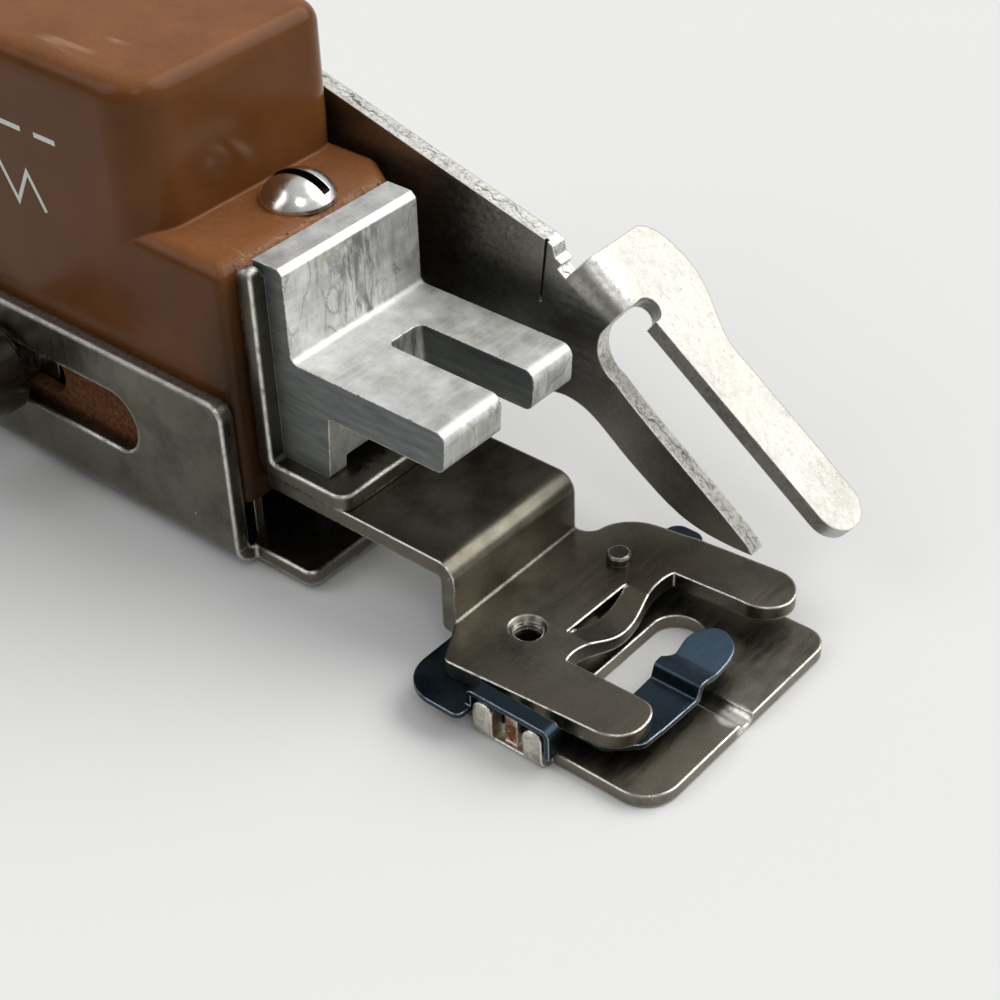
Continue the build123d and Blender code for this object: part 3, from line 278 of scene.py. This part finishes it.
# ---- materials ----
def plated_metal(
    name, dark, light, edge, roughness, speckle, stretch,
    rim=0.25, tarnished=0.55, cut_and_lit=None, dirt_and_shade=None, spots=(),
):
    """Worn metal: stains, tarnish, fine specks, drawn marks, hairlines, and bright edges that are partly
    rubbed wear and partly painted highlight.

    The cut mask gives sheared faces and, on the tray, a painted highlight on upward tops; the dirt mask
    gives dirty places and, in the lever's crease, a painted shade line; spots are (point, radius, colour,
    strength), and some of them are painted light or shade."""
    graph = new_material(name)
    rounded, edge_mask = graph.edges(rim)
    stains = graph.noise(150, 6.0, 0.6)
    grains = graph.noise(3400, 3.0, 0.7)
    marks = graph.noise(1500, 4.0, 0.6, stretch)
    colour = graph.ramp(stains, 0.3, 0.72, rgb(*dark), rgb(*light))
    tarnish = graph.span(graph.noise(75, 5.0, 0.65), 0.5, 0.68, 0.0, tarnished)
    colour = graph.blend(tarnish, colour, tinted(dark, (1.15, 0.98, 0.72)))
    for point, radius, tint, strength in spots:
        ragged = graph.times(graph.near(point, radius), graph.span(graph.noise(1300, 4.0, 0.7), 0.22, 0.6))
        colour = graph.blend(graph.times(ragged, strength), colour, rgb(*tint))
    colour = graph.blend(graph.span(grains, 0.6, 0.82, 0.0, speckle), colour, rgb(*edge))
    pitted = graph.span(grains, 0.43, 0.25, 0.0, speckle)
    colour = graph.blend(pitted, colour, tinted(dark, (0.3, 0.28, 0.24)))
    hairlines = graph.times(
        graph.span(graph.noise(900, 2.0, 0.5, (1, 0.04, 1)), 0.70, 0.74),
        graph.span(graph.noise(120, 2.0), 0.55, 0.65),
    )
    colour = graph.blend(graph.times(hairlines, 0.5), colour, rgb(*edge))
    rough = graph.span(marks, 0.3, 0.7, roughness - 0.07, roughness + 0.09)
    height = graph.times(marks, 0.6)
    # sheared faces; for the tray this mask also paints a highlight on upward tops
    if cut_and_lit is not None:
        torn_and_lit = cut_and_lit(graph)
        grit, sheared = sheared_face(graph)
        colour = graph.blend(torn_and_lit, colour, sheared)
        rough = graph.plus(rough, graph.times(torn_and_lit, 0.12))
        height = graph.plus(height, graph.times(torn_and_lit, graph.times(grit, 2.0)))
    # bright edges: rubbed wear and painted highlight along the rims
    rubbed_and_glint = graph.times(edge_mask, graph.span(graph.noise(900, 3.0), 0.3, 0.5, 0.35, 1.0))
    colour = graph.blend(rubbed_and_glint, colour, rgb(*edge))
    rough = graph.minus(rough, graph.times(rubbed_and_glint, 0.12))
    # dark dirt, and in the lever's crease a painted shade line
    if dirt_and_shade is not None:
        dirt_and_shade_mask = dirt_and_shade(graph)
        dirt_and_shade_black = rgb(0.05, 0.042, 0.034)
        colour = graph.blend(dirt_and_shade_mask, colour, dirt_and_shade_black)
        rough = graph.plus(rough, graph.times(dirt_and_shade_mask, 0.3))
    graph.put("Base Color", colour)
    graph.put("Metallic", 1.0)
    graph.put("Roughness", rough)
    surface = graph.bump(grains, 0.3, 0.03, rounded)
    graph.put("Normal", graph.bump(height, 0.35, 0.04, surface))
    return graph.owner


def sheared_face(graph):
    """(grit, colour) of a face that the die tore: bright grit, drawn streaks and cracked plating."""
    dark_grit = rgb(0.26, 0.25, 0.225)
    bright_grit = rgb(0.84, 0.84, 0.80)
    streak = rgb(0.34, 0.33, 0.30)
    crack = rgb(0.10, 0.09, 0.08)
    grit = graph.noise(1900, 5.0, 0.75)
    drawn = graph.span(graph.noise(1100, 3.0, 0.6, (1, 0.25, 1)), 0.35, 0.65, 0.72, 1.0)
    colour = graph.ramp(grit, 0.33, 0.53, dark_grit, bright_grit)
    colour = graph.blend(drawn, streak, colour)
    return grit, graph.blend(plating_crack(graph), colour, crack)


def plating_crack(graph):
    """A wandering crack in the plating along the middle of the lever's sheared edge."""
    low = (WEB_MIDDLE - CRACK_WANDER) * MM
    high = (WEB_MIDDLE + CRACK_WANDER) * MM
    wander = graph.span(graph.noise(420, 3.0), 0.3, 0.7, low, high)
    away = graph.away(graph.along("Y"), wander)
    broken = graph.span(graph.noise(160, 2.0), 0.44, 0.52, 0.0, 0.8)
    return graph.times(graph.span(away, 0.14 * MM, 0.05 * MM), broken)


def slot_dirt(graph):
    """The dark dirt inside the cover screw's slot."""
    turn = radians(COVER_SLOT_TURN)
    across = (-sin(turn), cos(turn))
    middle = (across[0] * COVER_SCREW[0] + across[1] * COVER_SCREW[1]) * MM
    along_x = graph.times(graph.along("X"), across[0])
    offset = graph.plus(along_x, graph.times(graph.along("Y"), across[1]))
    away = graph.away(offset, middle)
    inside = graph.span(away, (COVER_SLOT_HALF + 0.03) * MM, (COVER_SLOT_HALF - 0.03) * MM)
    above = graph.span(graph.along("Z"), (COVER_SLOT_FLOOR - 0.06) * MM, (COVER_SLOT_FLOOR - 0.03) * MM)
    return graph.times(inside, above)


def crease_shade(graph):
    """Painted shade: the dark line in the crease of the lever's web."""
    lean = (CREASE_TOP[0] - CREASE_LOW[0]) / (CREASE_TOP[1] - CREASE_LOW[1])
    start = (CREASE_TOP[0] - lean * CREASE_TOP[1]) * MM
    straight = graph.minus(graph.along("X"), graph.times(graph.along("Z"), lean))
    away = graph.away(straight, start)
    line = graph.span(away, 0.28 * MM, 0.14 * MM)
    above = graph.span(graph.along("Z"), (CREASE_LOW[1] - 0.1) * MM, (CREASE_LOW[1] + 0.8) * MM)
    near = graph.span(graph.along("Y"), (WEB_MIDDLE - 0.5) * MM, (WEB_MIDDLE - 0.7) * MM)
    return graph.times(graph.times(line, above), near)


def lever_cuts(graph):
    """Where the lever's outline was sheared: square to the web's faces or to the upper prong's."""
    slope = radians(PRONG_ANGLE)
    web = graph.span(graph.facing((0, 1, 0)), 0.6, 0.3)
    prong = graph.span(graph.facing((sin(slope), 0, cos(slope))), 0.5, 0.2)
    beside = graph.span(graph.along("Y"), (WEB_FAR + 0.7) * MM, (WEB_FAR + 1.0) * MM)
    low = graph.times(web, graph.minus(1.0, beside))
    return graph.plus(low, graph.times(graph.times(prong, beside), 0.35))


def sheared_rim_and_lit_tops(graph):
    """The bare sheared top of the tray's walls, lightened further as a painted highlight; the same
    lightening falls on every upward face above the wall's top, such as the angle bracket's top, where it is
    only a painted highlight.
    """
    high = graph.span(graph.along("Z"), (TRAY_WALL_TOP - 0.3) * MM, (TRAY_WALL_TOP - 0.1) * MM, 0.0, 0.4)
    return graph.times(high, graph.span(graph.along("Z", "Normal"), 0.2, 0.5))


def extruded_alloy():
    """Extruded aluminium: die lines, smears and scratches in front, yellowed stains, sawn sides darkened as
    painted shade, bright edges that are rubbed metal and painted highlight.
    """
    dull = rgb(0.50, 0.505, 0.49)
    clean = rgb(0.82, 0.83, 0.81)
    die_line = rgb(0.80, 0.81, 0.80)
    smear = rgb(0.19, 0.19, 0.18)
    scratch = rgb(0.17, 0.17, 0.16)
    yellow = rgb(0.56, 0.53, 0.40)
    shaded_sawn_dark = rgb(0.10, 0.11, 0.105)
    shaded_sawn_light = rgb(0.20, 0.215, 0.205)
    pit = rgb(0.10, 0.095, 0.09)
    bright = rgb(0.90, 0.91, 0.90)
    nick = rgb(0.13, 0.13, 0.12)
    graph = new_material("extruded_alloy")
    rounded, rim = graph.edges(0.28)
    sawn_and_shaded = graph.span(graph.facing((0, 1, 0)), 0.7, 0.9)
    front = graph.span(graph.facing((1, 0, 0)), 0.7, 0.9)
    lines = graph.noise(1700, 5.0, 0.65, (1, 0.05, 1))
    smears = graph.noise(700, 5.0, 0.7, (1, 1, 0.3))
    blotches = graph.noise(330, 6.0, 0.65)
    grains = graph.noise(3000, 4.0, 0.75)
    colour = graph.ramp(blotches, 0.3, 0.66, dull, clean)
    colour = graph.blend(graph.span(lines, 0.42, 0.7, 0.0, 0.55), colour, die_line)
    middle = graph.away(graph.along("Y"), SCUFFED_MIDDLE * MM)
    scuffed = graph.span(middle, SCUFFED_HALF * MM, SCUFFED_HALF * 0.4 * MM, 0.3, 1.0)
    smeared = graph.times(graph.times(front, scuffed), graph.span(smears, 0.44, 0.6, 0.0, 0.85))
    colour = graph.blend(smeared, colour, smear)
    wander = graph.away(graph.noise(190, 2.0, 0.5, (1, 1, 0.5)), 0.5)
    scribbles = graph.times(graph.span(wander, 0.014, 0.004, 0.0, 0.5), graph.span(grains, 0.4, 0.5))
    colour = graph.blend(graph.times(front, scribbles), colour, scratch)
    yellowed = graph.span(graph.noise(260, 4.0), 0.56, 0.72, 0.0, 0.5)
    colour = graph.blend(yellowed, colour, yellow)
    saw_marks = graph.span(graph.noise(1400, 4.0, 0.6, (0.15, 1, 1)), 0.3, 0.7)
    end = graph.blend(saw_marks, shaded_sawn_dark, shaded_sawn_light)
    # sawn sides: saw marks, darkened as painted shade
    colour = graph.blend(graph.times(sawn_and_shaded, 0.95), colour, end)
    colour = graph.blend(graph.span(grains, 0.38, 0.28, 0.0, 0.75), colour, pit)
    # bright ragged edges: rubbed metal and painted highlight
    ragged = graph.span(grains, 0.36, 0.5)
    colour = graph.blend(graph.times(rim, ragged), colour, bright)
    nicked = graph.times(rim, graph.span(graph.noise(1100, 4.0, 0.7), 0.44, 0.38, 0.0, 0.8))
    colour = graph.blend(nicked, colour, nick)
    graph.put("Base Color", colour)
    graph.put("Metallic", 0.85)
    graph.put("Roughness", graph.span(blotches, 0.3, 0.7, 0.46, 0.62))
    surface = graph.bump(lines, 0.6, 0.06, rounded)
    graph.put("Normal", graph.bump(grains, 0.3, 0.05, surface))
    return graph.owner


def brown_moulding():
    """Glossy reddish-brown moulding: upward faces lighter as painted light, rubbed edges with painted
    highlight, rusty low sides, a front that darkens towards the bottom as painted shade, dust.
    """
    brown_dark = rgb(0.108, 0.039, 0.011)
    brown_light = rgb(0.155, 0.058, 0.017)
    lit_top_brown = rgb(0.25, 0.098, 0.036)
    rubbed_and_sheen = rgb(0.42, 0.17, 0.08)
    rust_dark = rgb(0.05, 0.018, 0.008)
    rust_light = rgb(0.24, 0.10, 0.045)
    shade_dark = rgb(0.022, 0.012, 0.005)
    hairline = rgb(0.45, 0.28, 0.18)
    pale_dust = rgb(0.50, 0.38, 0.28)
    graph = new_material("brown_moulding")
    rounded, rim = graph.edges(0.55)
    clouds = graph.noise(90, 4.0)
    specks = graph.noise(2600, 4.0, 0.75)
    pores = graph.noise(1500, 5.0, 0.75)
    colour = graph.ramp(clouds, 0.3, 0.7, brown_dark, brown_light)
    upward = graph.span(graph.along("Z", "Normal"), 0.55, 0.95)
    # painted light: upward faces lighter, as if lit from above
    lit_top = graph.times(upward, graph.span(graph.noise(150, 6.0, 0.65), 0.3, 0.7, 0.5, 1.0))
    colour = graph.blend(lit_top, colour, lit_top_brown)
    # lighter edges: rubbed flash and painted highlight
    colour = graph.blend(graph.times(rim, 0.5), colour, rubbed_and_sheen)
    low = graph.span(graph.along("Z"), RUSTY_BELOW * MM, RUSTIEST * MM)
    low = graph.times(low, graph.span(graph.along("X"), (RUST_AND_SHADE_SPLIT + 2) * MM, RUST_AND_SHADE_SPLIT * MM))
    rusty = graph.ramp(pores, 0.38, 0.62, rust_dark, rust_light)
    colour = graph.blend(graph.times(low, 0.8), colour, rusty)
    # painted shade: the front darkens towards the bottom
    shaded_front = graph.times(
        graph.span(graph.along("Z"), SHADED_BELOW * MM, SHADIEST * MM, 0.0, 0.8),
        graph.span(graph.along("X"), RUST_AND_SHADE_SPLIT * MM, (RUST_AND_SHADE_SPLIT + 5) * MM),
    )
    colour = graph.blend(shaded_front, colour, shade_dark)
    hairlines = graph.times(
        graph.span(graph.noise(420, 2.0, 0.5, (0.06, 1, 0.5)), 0.68, 0.71),
        graph.span(graph.noise(60, 2.0), 0.5, 0.6),
    )
    lengthwise = graph.span(graph.facing((1, 0, 0)), 0.5, 0.9, 0.4, 0.0)
    colour = graph.blend(graph.times(hairlines, lengthwise), colour, hairline)
    settled = graph.times(upward, graph.span(specks, 0.5, 0.75, 0.0, 0.1))
    settled = graph.plus(settled, graph.span(specks, 0.70, 0.8, 0.0, 0.5))
    colour = graph.blend(settled, colour, pale_dust)
    graph.put("Base Color", colour)
    gloss = graph.span(clouds, 0.3, 0.7, 0.14, 0.24)
    graph.put("Roughness", graph.plus(gloss, graph.times(low, 0.45)))
    graph.put("Specular IOR Level", 0.13)
    peel = graph.bump(graph.noise(420, 3.0), 0.12, 0.1, rounded)
    graph.put("Normal", graph.bump(graph.times(low, pores), 0.8, 0.25, peel))
    return graph.owner


def plain_grained(name, dark, light, scale, roughness, depth):
    """A dull material with one grain, for dust and ink; the grain's depth is in millimetres."""
    graph = new_material(name)
    grain = graph.noise(scale, 5.0, 0.7)
    graph.put("Base Color", graph.ramp(grain, 0.35, 0.65, rgb(*dark), rgb(*light)))
    graph.put("Roughness", graph.span(grain, 0.3, 0.7, roughness - 0.1, roughness + 0.1))
    graph.put("Normal", graph.bump(grain, 0.6, depth))
    return graph.owner


# ---- pieces ----
def piece(name, build, body, material, smooth=False):
    """Turns a finished bmesh in millimetres into an object that rides a body."""
    bmesh.ops.recalc_face_normals(build, faces=build.faces)
    bmesh.ops.scale(build, vec=(MM, MM, MM), verts=build.verts)
    mesh = bpy.data.meshes.new(name)
    build.to_mesh(mesh)
    build.free()
    for face in mesh.polygons:
        face.use_smooth = smooth
    mesh.materials.append(material)
    made = bpy.data.objects.new(name, mesh)
    bpy.context.scene.collection.objects.link(made)
    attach(made, body)
    return made


def bridge_rings(build, first, second):
    """A band of faces between two closed rings of corners."""
    for index in range(len(first)):
        after = (index + 1) % len(first)
        build.faces.new((first[index], first[after], second[after], second[index]))


def bridge_tube(build, rings):
    """A tube through rings of corners, closed at both ends."""
    for first, second in zip(rings, rings[1:]):
        bridge_rings(build, first, second)
    build.faces.new(rings[0])
    build.faces.new(list(reversed(rings[-1])))


def foot_thread(material):
    """The screw thread inside the foot plate's hole, as a closed sleeve."""
    around = 56
    levels = 34
    turns = [step / around for step in range(around)]
    build = bmesh.new()
    rings = []
    for level in range(levels + 1):
        z = FOOT_LOW + (THREAD_TOP - FOOT_LOW) * level / levels
        ring = []
        for turn in turns:
            phase = ((z - FOOT_LOW) / THREAD_PITCH - turn) % 1.0
            flank = abs(2 * phase - 1)
            radius = THREAD_CREST_R + (THREAD_R - THREAD_CREST_R) * flank
            ring.append(build.verts.new((radius * cos(2 * pi * turn), radius * sin(2 * pi * turn), z)))
        rings.append(ring)
    outer = THREAD_R + THREAD_BACK
    for z in (THREAD_TOP, FOOT_LOW):
        ring = []
        for turn in turns:
            ring.append(build.verts.new((outer * cos(2 * pi * turn), outer * sin(2 * pi * turn), z)))
        rings.append(ring)
    for first, second in zip(rings, rings[1:] + rings[:1]):
        bridge_rings(build, first, second)
    return piece("foot_thread", build, "foot", material, smooth=True)


def dust_ridge(name, start, end, sides, top, fall, crumbs, seed, material):
    """A ridge of packed dust along X or Y, with crumbs on it; fall is its slope across."""
    draw = random.Random(seed)
    build = bmesh.new()
    start = Vector(start)
    run = Vector(end) - start
    across = Vector((run.y, -run.x)).normalized()
    steps = int(run.length / DUST_STEP)
    rows = []
    lump = 0.1
    width = sides
    for step in range(steps + 1):
        centre = start + run * step / steps
        lump = 0.55 * lump + 0.45 * draw.uniform(0.0, 0.25)
        width = 0.6 * width + 0.4 * sides * draw.uniform(0.5, 1.5)
        row = []
        for offset in (-0.5, -0.2, 0.15, 0.5):
            place = centre + across * offset * width
            crest = lump + draw.uniform(-0.05, 0.07) - 0.18 * abs(offset) - fall * width * offset
            row.append(build.verts.new((place.x, place.y, top + crest)))
        for offset in (0.5, -0.5):
            place = centre + across * offset * width
            row.append(build.verts.new((place.x, place.y, top - DUST_ROOT - fall * width * offset)))
        rows.append(row)
    bridge_tube(build, rows)
    for _ in range(crumbs):
        size = draw.uniform(0.10, 0.24)
        centre = start + run * draw.random() + across * sides * draw.uniform(-0.3, 0.3)
        made = bmesh.ops.create_icosphere(build, subdivisions=1, radius=size)["verts"]
        for corner in made:
            corner.co *= draw.uniform(0.75, 1.2)
            corner.co += Vector((centre.x, centre.y, top + 0.12 - fall * (centre - start).dot(across)))
    return piece(name, build, "base", material)


def stroke(build, points, width, back, front):
    """A mitred ink line through points in X and Z, between two places along Y."""
    half = width / 2
    rings = []
    for index, point in enumerate(points):
        before = (point - points[index - 1]).normalized() if index else None
        after = (points[index + 1] - point).normalized() if index + 1 < len(points) else before
        before = before or after
        normal = Vector((-before.y - after.y, before.x + after.x)).normalized()
        reach = half / max(0.35, normal.dot(Vector((-before.y, before.x))))
        left = point + normal * reach
        right = point - normal * reach
        corners = ((left, back), (left, front), (right, front), (right, back))
        rings.append([build.verts.new((side.x, y, side.y)) for side, y in corners])
    bridge_tube(build, rings)


def stitch_marks(material):
    """Printed signs on the housing's left side: a zigzag stitch under a row of straight ones."""
    back = HOUSING_LEFT + INK_SUNK
    front = HOUSING_LEFT - INK_PROUD
    build = bmesh.new()
    zigzag = []
    for step in range(ZIGZAG_POINTS):
        x = ZIGZAG_AT[0] + ZIGZAG_STEP[0] * step
        z = ZIGZAG_AT[1] + ZIGZAG_STEP[1] * (step % 2)
        zigzag.append(Vector((x, z)))
    stroke(build, zigzag, ZIGZAG_WIDTH, back, front)
    for step in range(DASHES):
        x = DASH_AT[0] + DASH_PITCH * step
        dash = [Vector((x, DASH_AT[1])), Vector((x + DASH_LENGTH, DASH_AT[1]))]
        stroke(build, dash, DASH_WIDTH, back, front)
    return piece("stitch_marks", build, "base", material)


def floor():
    """Plain pale table under the part, which throws back less light than its own colour would."""
    pale_dark = rgb(0.78, 0.78, 0.77)
    pale_light = rgb(0.80, 0.80, 0.79)
    thrown_back = rgb(0.45, 0.45, 0.44)
    mesh = bpy.data.meshes.new("floor")
    build = bmesh.new()
    bmesh.ops.create_grid(build, x_segments=8, y_segments=8, size=FLOOR_HALF)
    build.to_mesh(mesh)
    build.free()
    table = bpy.data.objects.new("floor", mesh)
    bpy.context.scene.collection.objects.link(table)
    graph = new_material("floor")
    tone = graph.ramp(graph.noise(4, 2.0), 0.3, 0.7, pale_dark, pale_light)
    rays = graph.add("LightPath").outputs
    seen = graph.plus(rays["Is Camera Ray"], rays["Is Glossy Ray"])
    seen = graph.plus(seen, rays["Is Transmission Ray"])
    graph.put("Base Color", graph.blend(seen, thrown_back, tone))
    graph.put("Roughness", 0.75)
    mesh.materials.append(graph.owner)


def world():
    """Soft grey studio surroundings, lighter towards the key lamp, with a pale horizon behind the table."""
    sky = bpy.data.worlds.new("studio")
    graph = Graph(sky, "Background")
    towards = graph.dot(graph.places["Generated"], KEY_AT.normalized())
    level = graph.span(towards, -0.3, 1.0, SKY_DIM, SKY_BRIGHT)
    rays = graph.add("LightPath").outputs
    mirrored = graph.times(rays["Is Glossy Ray"], HORIZON_MIRRORED)
    seen = graph.plus(rays["Is Camera Ray"], mirrored)
    seen = graph.plus(seen, rays["Is Transmission Ray"])
    height = graph.along("Z", "Generated")
    pale = graph.span(height, HORIZON_FADES_FROM, HORIZON_GONE_AT, HORIZON_PALE, SKY_DIM)
    shown = graph.times(seen, pale)
    graph.put("Strength", graph.math("MAXIMUM", level, shown))
    graph.put("Color", rgb(0.99, 0.99, 1.0))
    bpy.context.scene.world = sky


def dress(names, material):
    """Gives CAD nodes one material."""
    for name in names:
        slots = nodes[name].data.materials
        slots.clear()
        slots.append(material)


place_camera()
world()
floor()
for lamp in LAMPS:
    soft_light(*lamp)

steel = plated_metal(
    "plated_steel", STEEL_DARK, STEEL_LIGHT, NICKEL,
    roughness=0.32, speckle=0.2, stretch=(1, 0.12, 1), rim=0.38,
)
tray = plated_metal(
    "tray_steel", STEEL_DARK, STEEL_LIGHT, NICKEL,
    roughness=0.32, speckle=0.2, stretch=(1, 1, 0.12), rim=0.75, cut_and_lit=sheared_rim_and_lit_tops,
)
sole = plated_metal(
    "sole_nickel", (0.11, 0.10, 0.075), (0.33, 0.31, 0.255), NICKEL,
    roughness=0.32, speckle=0.25, stretch=(1, 0.2, 1), rim=0.38,
    spots=(
        # painted reflection: a lighter patch on the sole's tab
        (SOLE_TAB, 5.5, (0.70, 0.68, 0.61), 2.0),
        (SOLE_RUST, 2.3, (0.22, 0.075, 0.028), 2.0),
        # a lighter patch at the groove's end: polished wear and painted highlight
        (GROOVE_END, 2.1, (0.80, 0.77, 0.70), 3.0),
        (SOLE_STAIN, 2.4, (0.30, 0.17, 0.09), 0.5),
    ),
)
lever = plated_metal(
    "lever_nickel", (0.285, 0.277, 0.255), (0.395, 0.387, 0.36), (0.88, 0.88, 0.84),
    roughness=0.36, speckle=0.55, stretch=(0.3, 1, 1), tarnished=0.2, cut_and_lit=lever_cuts, dirt_and_shade=crease_shade,
    spots=(
        # painted shade: a darker patch over the web behind the crease
        (WEB_SHADE, 12.0, (0.15, 0.135, 0.105), 1.0),
        # painted light: a lighter patch on the web ahead of the crease
        (WEB_BEND, 5.0, (0.62, 0.60, 0.54), 1.0),
    ),
)
blued = plated_metal(
    "blued_spring", (0.010, 0.016, 0.022), (0.050, 0.078, 0.105), (0.34, 0.40, 0.48),
    roughness=0.34, speckle=0.12, stretch=(1, 0.2, 1),
    # painted light: a lighter patch on the finger's up-facing pad
    spots=((FINGER_PAD, 5.2, (0.080, 0.127, 0.185), 4.0),),
)
polished = plated_metal(
    "polished_nickel", (0.76, 0.75, 0.72), (0.93, 0.92, 0.89), (0.96, 0.95, 0.93),
    roughness=0.2, speckle=0.1, stretch=(1, 1, 1), dirt_and_shade=slot_dirt,
)
knob = plated_metal(
    "knob_steel", (0.085, 0.075, 0.06), (0.16, 0.145, 0.12), NICKEL,
    roughness=0.3, speckle=0.2, stretch=(1, 0.1, 1),
)
turned = plated_metal(
    "turned_steel", (0.30, 0.29, 0.28), (0.48, 0.47, 0.46), (0.8, 0.79, 0.77),
    roughness=0.28, speckle=0.3, stretch=(1, 1, 0.1),
)
brass = plated_metal(
    "bush_brass", (0.50, 0.36, 0.14), (0.68, 0.52, 0.24), (0.86, 0.72, 0.42),
    roughness=0.3, speckle=0.2, stretch=(1, 1, 0.1),
)
dust = plain_grained(
    "packed_dust", (0.13, 0.050, 0.020), (0.42, 0.20, 0.09), scale=1100, roughness=0.75, depth=0.06,
)
ink = plain_grained(
    "pale_ink", (0.70, 0.76, 0.67), (0.84, 0.87, 0.79), scale=1800, roughness=0.55, depth=0.02,
)

dress(("foot_arm", "foot_rivet"), steel)
# the angle bracket shares the tray's material, whose rim mask paints a highlight on its top
dress(("base_tray", "angle_bracket"), tray)
dress(("sole_plate",), sole)
dress(("fork_lever",), lever)
dress(("presser_yoke",), extruded_alloy())
dress(("housing",), brown_moulding())
dress(("finger_spring",), blued)
dress(("cover_screw",), polished)
dress(("width_knob", "knob_washer"), knob)
dress(("shaft_bush", "wheel_hub"), brass)
dress(
    (
        "cover_pillar", "rear_screws", "yoke_screws", "slide_guide", "bearing_post", "wheel_axle",
        "axle_clips", "follower_pin", "rocker_shaft", "crank_arm", "drive_pawl", "ratchet_wheel",
        "stitch_cam", "follower_lever", "follower_nose", "link_pin", "width_stud", "width_stop",
        "return_spring", "click_spring",
    ),
    turned,
)

foot_thread(steel)
ledge_x, ledge_z = LEDGE_EDGE
ledge_left, ledge_right = LEDGE_DUST_ENDS
seam_rear, seam_front = SEAM_DUST_ENDS
dust_ridge(
    "ledge_dust", (ledge_x, ledge_left), (ledge_x, ledge_right),
    sides=0.9, top=ledge_z, fall=LEDGE_EDGE_FALL, crumbs=5, seed=7, material=dust,
)
dust_ridge(
    "seam_dust", (seam_rear, SEAM_Y), (seam_front, SEAM_Y),
    sides=0.34, top=TRAY_WALL_TOP - SEAM_DEPTH, fall=0.0, crumbs=6, seed=11, material=dust,
)
stitch_marks(ink)

bpy.context.scene.view_settings.view_transform = "Standard"
